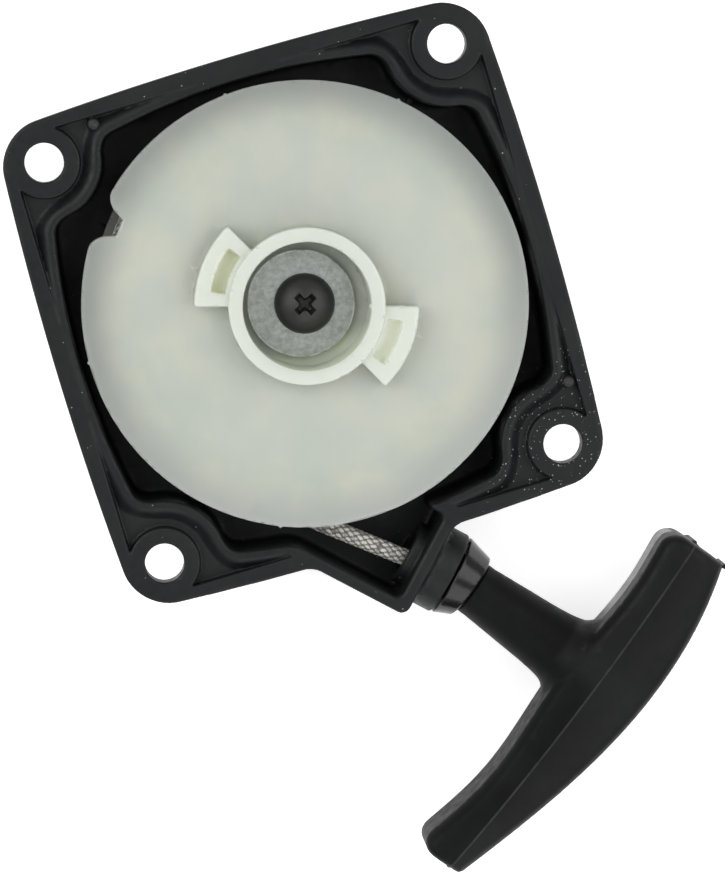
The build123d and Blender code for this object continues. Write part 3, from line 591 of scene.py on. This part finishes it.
def rope_tube(name, route, radius, around_count, body, replaces, closed=False, flat_until=None):
    """A braided tube along a route of closely spaced points, with the strands as geometry."""
    route = np.array(route, float)
    ahead = np.roll(route, -1, 0) - np.roll(route, 1, 0)
    if not closed:
        ahead[0], ahead[-1] = route[1] - route[0], route[-1] - route[-2]
    ahead /= np.linalg.norm(ahead, axis=1, keepdims=True)
    side = np.cross(ahead[0], NOT_ALONG)
    sides = []
    for direction in ahead:
        side = side - direction * (side @ direction)
        side /= np.linalg.norm(side)
        sides.append(side)
    sides = np.array(sides)
    rises = np.cross(ahead, sides)
    steps = np.linalg.norm(np.diff(route, axis=0), axis=1)
    along = np.concatenate([[0], np.cumsum(steps)])
    theta = np.arange(around_count) * 2 * pi / around_count
    height, tone = braid(theta[None, :], along[:, None])
    if flat_until is not None:
        height = np.where(along[:, None] < flat_until, 0.6, height)
    distance = (radius - BRAID_RELIEF) + BRAID_RELIEF * height
    points = route[:, None] + distance[..., None] * (
        np.cos(theta)[None, :, None] * sides[:, None] + np.sin(theta)[None, :, None] * rises[:, None])
    count = len(route)
    faces = []
    for ring in range(count if closed else count - 1):
        here, there = ring * around_count, (ring + 1) % count * around_count
        for k in range(around_count):
            nxt = (k + 1) % around_count
            faces.append((here + k, here + nxt, there + nxt, there + k))
    if not closed:
        faces.append(tuple(range(around_count))[::-1])
        faces.append(tuple((count - 1) * around_count + k for k in range(around_count)))
    mesh = bpy.data.meshes.new(name)
    mesh.from_pydata((points.reshape(-1, 3) * MM).tolist(), [], faces)
    mesh.shade_smooth()
    for attribute_name, values in (("strand_tone", tone), ("strand_height", height)):
        attribute = mesh.attributes.new(attribute_name, "FLOAT", "POINT")
        attribute.data.foreach_set("value", values.ravel().astype(np.float32))
    piece = bpy.data.objects.new(name, mesh)
    bpy.context.scene.collection.objects.link(piece)
    if body:
        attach(piece, body)
    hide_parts(*replaces)
    return piece


def straight(start, end, step):
    count = max(2, int(np.linalg.norm(end - start) / step))
    return [start + (end - start) * k / count for k in range(count + 1)]


def polar(r, turn, z):
    return np.array([r * cos(radians(turn)), r * sin(radians(turn)), z])


GROOVE_Z = -5.5
WOUND_R = 33.5
WOUND_PITCH = 3.08
HALF_TURNS = 8
INNER_BEND_R, INNER_BEND_TURN = 6.0, 80
CORNER_BEND_R = 14.0
tangent_turn = degrees(
    atan2(ROPE_CORNER[1], ROPE_CORNER[0]) - np.arccos(WOUND_R / hypot(ROPE_CORNER[0], ROPE_CORNER[1])))


def wound_route(step):
    """The turns on the reel: half circles whose radius grows by half the pitch each time."""
    inside = WOUND_R - HALF_TURNS * WOUND_PITCH / 2
    route = []
    for turn in np.arange(-INNER_BEND_TURN, 0, degrees(step / INNER_BEND_R)):
        centre = polar(inside - INNER_BEND_R, tangent_turn, GROOVE_Z)
        route.append(centre + polar(INNER_BEND_R, tangent_turn + turn, 0))
    for half in range(HALF_TURNS):
        r = inside + WOUND_PITCH / 4 + half * WOUND_PITCH / 2
        centre = polar(-WOUND_PITCH / 4 if half % 2 == 0 else WOUND_PITCH / 4, tangent_turn, GROOVE_Z)
        for turn in np.arange(0, 180, degrees(step / r)):
            route.append(centre + polar(r, tangent_turn + 180 * half + turn, 0))
    return route


def lead_route(step):
    """From the reel's tangent point to the corner in the nozzle, and round it into the handle's line."""
    start = polar(WOUND_R, tangent_turn, GROOVE_Z)
    line = (ROPE_CORNER - start) / np.linalg.norm(ROPE_CORNER - start)
    turn = np.arccos(np.clip(line @ PULL, -1, 1))
    cut = CORNER_BEND_R * np.tan(turn / 2)
    route = straight(start + line * 0.2, ROPE_CORNER - line * cut, step)
    bend_from, bend_to = ROPE_CORNER - line * cut, ROPE_CORNER + PULL * cut
    for share in np.linspace(0, 1, 12)[1:]:
        a = bend_from + (ROPE_CORNER - bend_from) * share
        b = ROPE_CORNER + (bend_to - ROPE_CORNER) * share
        route.append(a + (b - a) * share)
    return route


def knot_route(centre, axis, size, count=260):
    """A small overhand knot whose loops lie across the axis."""
    side = np.cross(axis, (0, 0, 1.0))
    side /= np.linalg.norm(side)
    rise = np.cross(axis, side)
    t = np.arange(count) * 2 * pi / count
    a, b, c = np.sin(t) + 2 * np.sin(2 * t), np.cos(t) - 2 * np.cos(2 * t), -np.sin(3 * t)
    return centre + size * (a[:, None] * side + b[:, None] * rise + 0.9 * c[:, None] * axis)


# Materials ----------------------------------------------------------------------------------------------

class Look:
    """A material built from nodes, in object coordinates of millimetres."""

    def __init__(self, name, **fixed):
        self.material = bpy.data.materials.new(name)
        self.material.use_nodes = True
        self.tree = self.material.node_tree
        self.shader = next(n for n in self.tree.nodes if n.type == "BSDF_PRINCIPLED")
        for socket, value in fixed.items():
            self.shader.inputs[socket.replace("_", " ")].default_value = value
        place = self.tree.nodes.new("ShaderNodeTexCoord")
        scale = self.tree.nodes.new("ShaderNodeVectorMath")
        scale.operation = "SCALE"
        scale.inputs["Scale"].default_value = 1 / MM
        self.tree.links.new(place.outputs["Object"], scale.inputs[0])
        self.place = scale.outputs[0]
        self.normal = None

    def put(self, socket, value):
        if isinstance(value, bpy.types.NodeSocket):
            self.tree.links.new(value, socket)
        else:
            socket.default_value = value

    def set(self, name, value):
        self.put(self.shader.inputs[name], value)

    def noise(self, per_mm, detail=3.0, rough=0.55, place=None, stretch=None):
        node = self.tree.nodes.new("ShaderNodeTexNoise")
        node.inputs["Scale"].default_value = per_mm
        node.inputs["Detail"].default_value = detail
        node.inputs["Roughness"].default_value = rough
        place = place or self.place
        if stretch:
            mapping = self.tree.nodes.new("ShaderNodeMapping")
            mapping.inputs["Scale"].default_value = stretch
            self.tree.links.new(place, mapping.inputs[0])
            place = mapping.outputs[0]
        self.tree.links.new(place, node.inputs["Vector"])
        return node.outputs["Fac"]

    def cells(self, per_mm, output="Distance", feature="F1", place=None):
        node = self.tree.nodes.new("ShaderNodeTexVoronoi")
        node.feature = feature
        node.inputs["Scale"].default_value = per_mm
        self.tree.links.new(place or self.place, node.inputs["Vector"])
        return node.outputs[output]

    def math(self, operation, a, b=0.0, c=0.0):
        node = self.tree.nodes.new("ShaderNodeMath")
        node.operation = operation
        for socket, value in zip(node.inputs, (a, b, c)):
            self.put(socket, value)
        return node.outputs[0]

    def times(self, first, *others):
        for other in others:
            first = self.math("MULTIPLY", first, other)
        return first

    def ranged(self, value, low, high, to_low=0.0, to_high=1.0):
        node = self.tree.nodes.new("ShaderNodeMapRange")
        node.interpolation_type = "SMOOTHSTEP"
        for socket, given in zip(node.inputs, (value, low, high, to_low, to_high)):
            self.put(socket, given)
        return node.outputs[0]

    def mix(self, share, a, b):
        node = self.tree.nodes.new("ShaderNodeMix")
        node.data_type = "RGBA"
        self.put(node.inputs[0], share)
        for socket, colour in ((node.inputs[6], a), (node.inputs[7], b)):
            self.put(socket, colour if isinstance(colour, bpy.types.NodeSocket) else (*colour, 1.0))
        return node.outputs[2]

    def bump(self, height, distance_mm, strength=1.0):
        node = self.tree.nodes.new("ShaderNodeBump")
        node.inputs["Strength"].default_value = strength
        node.inputs["Distance"].default_value = distance_mm * MM
        self.tree.links.new(height, node.inputs["Height"])
        if self.normal:
            self.tree.links.new(self.normal, node.inputs["Normal"])
        self.normal = node.outputs["Normal"]
        self.tree.links.new(self.normal, self.shader.inputs["Normal"])

    def split(self, place=None):
        node = self.tree.nodes.new("ShaderNodeSeparateXYZ")
        self.tree.links.new(place or self.place, node.inputs[0])
        return node.outputs

    def distance_to(self, point):
        node = self.tree.nodes.new("ShaderNodeVectorMath")
        node.operation = "DISTANCE"
        self.tree.links.new(self.place, node.inputs[0])
        node.inputs[1].default_value = point
        return node.outputs["Value"]

    def along_handle(self):
        """The place in axes that run along the handle's axis, across it and up, from the rope's corner."""
        node = self.tree.nodes.new("ShaderNodeMapping")
        node.vector_type = "TEXTURE"
        node.inputs["Location"].default_value = ROPE_CORNER
        node.inputs["Rotation"].default_value = (0, 0, atan2(PULL[1], PULL[0]))
        self.tree.links.new(self.place, node.inputs[0])
        return node.outputs[0]

    def pointiness(self):
        return self.tree.nodes.new("ShaderNodeNewGeometry").outputs["Pointiness"]


def radius_of(look, x, y):
    return look.math("SQRT", look.math("ADD", look.times(x, x), look.times(y, y)))


def black_nylon():
    look = Look("black_nylon", Specular_IOR_Level=0.30)
    wide, fine = look.noise(0.09, 4), look.noise(5.5, 2, 0.7)
    colour = look.mix(look.ranged(wide, 0.35, 0.7), (0.0065, 0.0072, 0.0080), (0.0105, 0.0112, 0.0118))
    worn = look.times(look.ranged(look.pointiness(), 0.54, 0.62), look.noise(0.5, 4))
    colour = look.mix(look.times(worn, 0.3), colour, (0.025, 0.026, 0.027))
    # pale dust, mostly round the corner beside the outlet
    grain = look.cells(1.7)
    chance = look.cells(1.7, "Color")
    pick = look.split(chance)[0]
    near = look.ranged(look.distance_to((38.0, -36.0, 0.0)), 9.0, 24.0, 0.75, 0.015)
    speck_r = look.ranged(look.noise(2.0), 0.3, 0.7, 0.06, 0.25)
    speck = look.times(look.math("LESS_THAN", grain, speck_r), look.math("LESS_THAN", pick, near))
    colour = look.mix(look.times(speck, 0.7), colour, (0.42, 0.43, 0.42))
    # painted highlight: a paler tone on each peg's top stands for the light it catches
    for peg in PEGS:
        peg_painted_highlight = look.ranged(look.distance_to((*peg, 0.0)), 1.2, 0.3)
        colour = look.mix(peg_painted_highlight, colour, (0.035, 0.035, 0.034))
    look.set("Base Color", colour)
    look.set("Roughness", look.ranged(look.noise(0.7, 5), 0.3, 0.7, 0.40, 0.55))
    look.bump(fine, 0.03, 0.5)
    look.bump(look.noise(0.8, 3), 0.06, 0.4)
    return look.material


def black_gloss():
    look = Look("black_gloss", Specular_IOR_Level=0.46)
    look.set("Base Color", look.mix(look.noise(0.3, 4), (0.006, 0.0062, 0.0068), (0.011, 0.011, 0.012)))
    look.set("Roughness", look.ranged(look.noise(1.3, 5), 0.3, 0.7, 0.13, 0.22))
    look.bump(look.noise(1.2, 3), 0.05, 0.4)
    look.bump(look.noise(9.0, 2), 0.01, 0.4)
    return look.material


def black_grip():
    look = Look("black_grip")
    wide = look.noise(0.07, 4)
    colour = look.mix(look.ranged(wide, 0.35, 0.7), (0.0052, 0.0054, 0.0056), (0.0088, 0.0092, 0.0093))
    # edge wear, and also a painted highlight: the paler rounded edges stand for the light they catch
    worn = look.ranged(look.pointiness(), 0.52, 0.58)
    colour = look.mix(look.times(worn, 0.6), colour, (0.03, 0.03, 0.031))
    # painted highlight: paler lower half of the inner edge of the short arm, where light falls on it
    u, v, w = look.split(look.along_handle())
    painted_highlight_strip = look.times(look.ranged(u, 24.2, 23.6), look.ranged(v, 7.0, 12.0), look.ranged(w, 0.9, -0.1))
    painted_highlight_strip = look.times(painted_highlight_strip, look.ranged(look.noise(0.5, 4), 0.2, 0.55, 0.6, 1.0))
    colour = look.mix(painted_highlight_strip, colour, (0.30, 0.30, 0.30))
    # painted highlight: a slightly paler parting line; painted shade: less specular on the face inside it on the
    # long arm and on the shaft
    bow = look.math("SUBTRACT", v, LINE_MIDDLE)
    line_u = look.math("ADD", look.times(v, LINE_LEAN), LINE_AT)
    line_u = look.math("SUBTRACT", line_u, look.times(bow, bow, LINE_BOW))
    past = look.math("SUBTRACT", u, line_u)
    off = look.math("ABSOLUTE", past)
    patchy = look.ranged(look.noise(0.6, 3), 0.3, 0.6, 0.35, 1.0)
    line = look.times(look.ranged(off, 0.24, 0.14), patchy, 0.8)
    colour = look.mix(line, colour, (0.04, 0.04, 0.04))
    # painted shade: the specular level is lowered on the long arm's inner face and on the shaft
    painted_shade_face = look.times(look.ranged(past, 0.1, -0.4), look.ranged(v, 2.0, -5.0))
    painted_shade = look.math("MAXIMUM", painted_shade_face, look.ranged(u, 20.5, 18.5))
    look.set("Specular IOR Level", look.ranged(painted_shade, 0.0, 1.0, 0.18, 0.08))
    look.set("Base Color", colour)
    look.set("Roughness", look.ranged(look.noise(0.6, 5), 0.3, 0.7, 0.42, 0.56))
    look.bump(look.noise(6.5, 2, 0.7), 0.022, 0.5)
    look.bump(look.noise(0.5, 3), 0.08, 0.35)
    return look.material


def natural_nylon():
    look = Look(
        "natural_nylon", Subsurface_Weight=0.7,
        Subsurface_Radius=(1.0, 1.05, 0.85), Subsurface_Scale=0.0060)
    x, y, z = look.split()
    r = radius_of(look, x, y)
    cloud = look.noise(0.055, 3)
    colour = look.mix(look.ranged(cloud, 0.3, 0.7), (0.475, 0.52, 0.46), (0.545, 0.565, 0.50))
    blotch = look.times(look.ranged(look.noise(0.11, 4, 0.6), 0.42, 0.72), 0.6)
    colour = look.mix(blotch, colour, (0.57, 0.575, 0.475))
    # painted shade: the rim is darker, less so towards the bottom
    rim_painted_shade = look.mix(look.ranged(y, -34.0, 10.0), (0.40, 0.42, 0.40), (0.27, 0.285, 0.27))
    colour = look.mix(look.ranged(r, 29.5, 38.5), colour, rim_painted_shade)
    over_spokes = look.times(look.ranged(r, 12.0, 15.0), look.ranged(r, 30.0, 26.0), 0.25)
    colour = look.mix(over_spokes, colour, (0.58, 0.61, 0.56))
    # cup and ears
    colour = look.mix(look.ranged(z, 2.0, 5.0), colour, (0.65, 0.69, 0.615))
    # painted light: the lower side of the cup's inner wall is paler, where light falls on it
    cup_wall_painted_light = look.times(look.ranged(r, 10.9, 10.75), look.ranged(y, -5.0, -9.0))
    colour = look.mix(cup_wall_painted_light, colour, (0.74, 0.80, 0.64))
    # painted light and shade: the pockets are paler, the right one more than the left
    pocket = look.times(look.ranged(r, 13.3, 13.8), look.ranged(r, 16.6, 16.1))
    pocket = look.times(pocket, look.ranged(z, 1.8, 2.4), look.ranged(z, 5.4, 5.0))
    pocket_painted_light = look.mix(look.math("GREATER_THAN", x, 0.0), (0.74, 0.76, 0.62), (0.85, 0.88, 0.77))
    colour = look.mix(pocket, colour, pocket_painted_light)
    # painted shade: the reel below the upper flange, beyond about 28 mm out, is dark
    lower_flange_painted_shade = look.times(look.ranged(z, -1.2, -2.6), look.ranged(r, 27.0, 29.0))
    colour = look.mix(lower_flange_painted_shade, colour, (0.13, 0.135, 0.12))
    look.set("Base Color", colour)
    look.set("Roughness", look.ranged(look.noise(0.4, 5), 0.3, 0.7, 0.34, 0.48))
    look.bump(look.noise(0.12, 3), 0.25, 0.35)
    look.bump(look.noise(7.0, 2), 0.008, 0.5)
    return look.material


def zinc():
    look = Look("zinc", Metallic=0.85)
    patches = look.cells(0.9, "Color")
    tone = look.split(patches)[0]
    cloud = look.noise(1.1, 6, 0.7)
    colour = look.mix(look.ranged(cloud, 0.35, 0.68), (0.33, 0.355, 0.335), (0.50, 0.53, 0.51))
    colour = look.mix(look.times(tone, 0.25), colour, (0.62, 0.64, 0.63))
    x, y, z = look.split()
    out_x, out_y = look.math("SUBTRACT", x, WASHER_AT[0]), look.math("SUBTRACT", y, WASHER_AT[1])
    out = radius_of(look, out_x, out_y)
    # painted highlight: a brighter edge, in places
    edge = look.times(look.ranged(out, 8.75, 8.95), look.ranged(z, -5.0, -4.6), look.ranged(out, 9.6, 9.4))
    edge = look.times(edge, look.ranged(look.noise(0.35), 0.35, 0.6, 0.2, 1.0))
    colour = look.mix(edge, colour, (0.92, 0.93, 0.92))
    look.set("Base Color", colour)
    look.set("Roughness", look.ranged(look.noise(2.5, 5), 0.3, 0.7, 0.36, 0.58))
    look.bump(cloud, 0.03, 0.5)
    look.bump(look.noise(10.0, 2), 0.008, 0.5)
    return look.material


def black_steel():
    look = Look("black_steel", Metallic=0.35)
    worn = look.times(look.ranged(look.pointiness(), 0.53, 0.62), look.noise(3.0, 3))
    colour = look.mix(look.noise(1.5, 4), (0.026, 0.026, 0.026), (0.042, 0.041, 0.040))
    look.set("Base Color", look.mix(worn, colour, (0.16, 0.15, 0.14)))
    look.set("Roughness", look.ranged(look.noise(3.0, 4), 0.3, 0.7, 0.33, 0.5))
    look.bump(look.noise(8.0, 3), 0.012, 0.5)
    return look.material


def metal(name, dark, light, rough, streak):
    look = Look(name, Metallic=1.0)
    look.set("Base Color", look.mix(look.noise(0.8, 5), dark, light))
    look.set("Roughness", look.ranged(look.noise(1.5, 4), 0.3, 0.7, rough, rough + 0.15))
    look.bump(look.noise(2.0, 3, stretch=streak), 0.02, 0.4)
    return look.material


def rope_fibre():
    look = Look("rope_fibre", Sheen_Weight=0.25)
    tone, height = (look.tree.nodes.new("ShaderNodeAttribute") for _ in range(2))
    tone.attribute_name, height.attribute_name = "strand_tone", "strand_height"
    fibres = look.noise(4.5, 3, 0.7)
    colour = look.mix(look.ranged(fibres, 0.3, 0.7), (0.55, 0.54, 0.48), (0.88, 0.87, 0.80))
    dark = look.ranged(tone.outputs["Fac"], 0.62, 0.72)
    dark = look.times(dark, look.ranged(look.noise(1.6), 0.3, 0.6, 0.3, 0.85))
    colour = look.mix(dark, colour, (0.09, 0.092, 0.095))
    # painted shade: darker between the strands
    strand_gap_painted_shade = look.ranged(height.outputs["Fac"], 0.25, 0.75, 0.85, 0.0)
    colour = look.mix(strand_gap_painted_shade, colour, (0.05, 0.049, 0.045))
    look.set("Base Color", colour)
    look.set("Roughness", look.ranged(fibres, 0.2, 0.8, 0.6, 0.85))
    look.bump(look.noise(11.0, 2, 0.7), 0.03, 0.6)
    return look.material


def rope_run_fibre():
    """The same braid, drawn about the handle's axis so that it keeps its size as the rope pays out."""
    look = Look("rope_run_fibre", Sheen_Weight=0.25)
    along, side, rise = look.split(look.along_handle())
    theta = look.times(look.math("ARCTAN2", side, rise), STRANDS / (2 * pi))
    rising = look.times(along, BRAID_RISE)
    p, q = look.math("ADD", theta, rising), look.math("SUBTRACT", theta, rising)
    cells = look.math("ADD", look.math("FLOOR", p), look.math("FLOOR", q))
    over = look.math("LESS_THAN", look.math("FLOORED_MODULO", cells, 2.0), 0.5)
    p_mid = look.math("SINE", look.times(look.math("FRACT", p), pi))
    q_mid = look.math("SINE", look.times(look.math("FRACT", q), pi))
    height = look.math("ADD", look.times(over, p_mid),
                       look.times(look.math("SUBTRACT", 1.0, over), q_mid))
    fibres = look.noise(4.5, 3, 0.7)
    colour = look.mix(look.ranged(fibres, 0.3, 0.7), (0.34, 0.335, 0.30), (0.66, 0.65, 0.61))
    fleck = look.math("FRACT", look.times(look.math("SINE", look.times(cells, 12.9898)), 43.7))
    colour = look.mix(look.times(look.ranged(fleck, 0.72, 0.86), 0.6), colour, (0.09, 0.092, 0.095))
    # painted shade: darker between the strands
    colour = look.mix(look.ranged(height, 0.0, 0.5, 0.7, 0.0), colour, (0.12, 0.118, 0.11))
    look.set("Base Color", colour)
    look.set("Roughness", look.ranged(fibres, 0.2, 0.8, 0.6, 0.85))
    look.bump(height, 0.2, 0.8)
    return look.material


def floor_look():
    look = Look("floor")
    look.set("Base Color", look.mix(look.noise(0.01, 2), (0.90, 0.90, 0.90), (0.92, 0.92, 0.92)))
    look.set("Roughness", 0.9)
    look.set("Emission Color", (1.0, 1.0, 1.0, 1.0))
    look.set("Emission Strength", 0.60)
    return look.material


# Build --------------------------------------------------------------------------------------------------

def painted(piece, material):
    piece.data.materials.clear()
    piece.data.materials.append(material)
    return piece


COARSE = 1.0

nylon, gloss, grip, milky = black_nylon(), black_gloss(), black_grip(), natural_nylon()
plated, oxide, fibre, run_fibre = zinc(), black_steel(), rope_fibre(), rope_run_fibre()
spring_look = metal("spring_steel", (0.22, 0.23, 0.25), (0.36, 0.37, 0.40), 0.28, (1, 1, 8))
brass_look = metal("brass", (0.50, 0.35, 0.14), (0.68, 0.50, 0.22), 0.25, (1, 1, 6))

# piece, shape, CAD node, voxel in millimetres, body, slot and material
MOULDED = [
    ("case_shell", starter_case, "starter_case", 0.33, "housing", "black_nylon", nylon),
    ("reel_moulding", rope_reel, "rope_reel", 0.36, "reel", "natural_nylon", milky),
    ("washer", reel_washer, "reel_washer", 0.15, "housing", "zinc", plated),
    ("pan_screw", reel_screw, "reel_screw", 0.12, "housing", "black_steel", oxide),
    ("nozzle", outlet_nozzle, "outlet_nozzle", 0.2, "housing", "black_gloss", gloss),
    ("handle_moulding", handle_grip, "handle_grip", 0.36, "handle", "black_grip", grip),
]
for name, shape, node, voxel, body, slot, material in MOULDED:
    low, high = box_mm(node)
    extra = parting_line() if node == "handle_grip" else None
    piece = moulded(name, shape, low, high, voxel * COARSE, body, [node], extra=extra)
    painted(piece, material)

for node, material in (
    ("spindle_insert", brass_look), ("spring_cassette", plated),
    ("spring_cover", plated), ("recoil_spring", spring_look),
):
    painted(frame["nodes"][node], material)

painted(rope_tube("rope_on_reel", wound_route(0.4), ROPE_R, 20, "reel", ["rope_wound"]), fibre)
painted(rope_tube("rope_to_outlet", lead_route(0.1), ROPE_R, 48, "housing", ["rope_lead"]), fibre)

# the run through the handle, smooth over its first few millimetres
RUN_FROM, RUN_TO, STRETCHES, SMOOTH = 2.0, 26.2, 2.5, 3.0
run_start, run_end = ROPE_CORNER + PULL * RUN_FROM, ROPE_CORNER + PULL * RUN_TO
run_route = straight(run_start, run_end, 0.1)
run = rope_tube("rope_through_handle", run_route, ROPE_R, 32, None, ["rope_tail"], flat_until=SMOOTH)
painted(run, run_fibre)
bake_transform(run)

for name, node, body, size, thick in (
    ("knot_in_handle", "handle_knot", "rope_end", 0.66, 1.3),
    ("knot_in_reel", "reel_knot", "reel", 0.48, 1.0),
):
    low, high = box_mm(node)
    loops = knot_route((low + high) / 2, PULL, size)
    painted(rope_tube(name, loops, thick, 24, body, [node], closed=True), fibre)


# Camera, lights and floor -------------------------------------------------------------------------------

def add_object(name, data, matrix):
    thing = bpy.data.objects.new(name, data)
    bpy.context.scene.collection.objects.link(thing)
    thing.matrix_world = matrix
    return thing


SOFTBOX_SIZE = 0.7
SOFTBOX_AIM = Vector((0.0, -0.01, 0.0))


def softbox(name, place, power):
    data = bpy.data.lights.new(name, "AREA")
    data.shape, data.size, data.energy = "SQUARE", SOFTBOX_SIZE, power
    turn = (SOFTBOX_AIM - Vector(place)).to_track_quat("-Z", "Y").to_matrix().to_4x4()
    add_object(name, data, Matrix.Translation(place) @ turn)


IMAGE_WIDE, IMAGE_TALL = 725, 875
LENS_WIDE = 207.88      # focal length for a sensor 36 mm wide across the image's width
camera_data = bpy.data.cameras.new("camera")
camera_data.sensor_width = 36.0
camera_data.lens = LENS_WIDE * IMAGE_WIDE / IMAGE_TALL
camera_data.clip_start, camera_data.clip_end = 0.01, 10
right, up, back = (0.95745, -0.28149, 0.06352), (0.28644, 0.95378, -0.09078), (-0.03503, 0.10511, 0.99384)
camera_at = (-0.02177, 0.04969, 0.69879)
camera_turn = Matrix((right, up, back)).transposed().to_4x4()
camera = add_object("camera", camera_data, Matrix.Translation(camera_at) @ camera_turn)
bpy.context.scene.camera = camera

softbox("key", (-0.45, 0.35, 0.60), 4.0)
softbox("fill", (0.50, -0.05, 0.55), 2.7)
softbox("low", (-0.05, -0.60, 0.45), 2.2)
world = bpy.data.worlds.new("world")
bpy.context.scene.world = world
world.use_nodes = True
world.node_tree.nodes["Background"].inputs["Color"].default_value = (1, 1, 1, 1)
world.node_tree.nodes["Background"].inputs["Strength"].default_value = 0.30
bpy.context.scene.view_settings.view_transform = "Standard"

floor_mesh = bpy.data.meshes.new("floor")
FLOOR_HALF = 4.0
FLOOR_GAP = 0.00003     # keeps the floor and the case's back from sharing a plane
floor_corners = [(x * FLOOR_HALF, y * FLOOR_HALF, 0) for x, y in ((-1, -1), (1, -1), (1, 1), (-1, 1))]
floor_mesh.from_pydata(floor_corners, [], [(0, 1, 2, 3)])
floor = add_object("floor", floor_mesh, Matrix.Translation((0, 0, CASE_BACK * MM - FLOOR_GAP)))
floor_mesh.materials.append(floor_look())
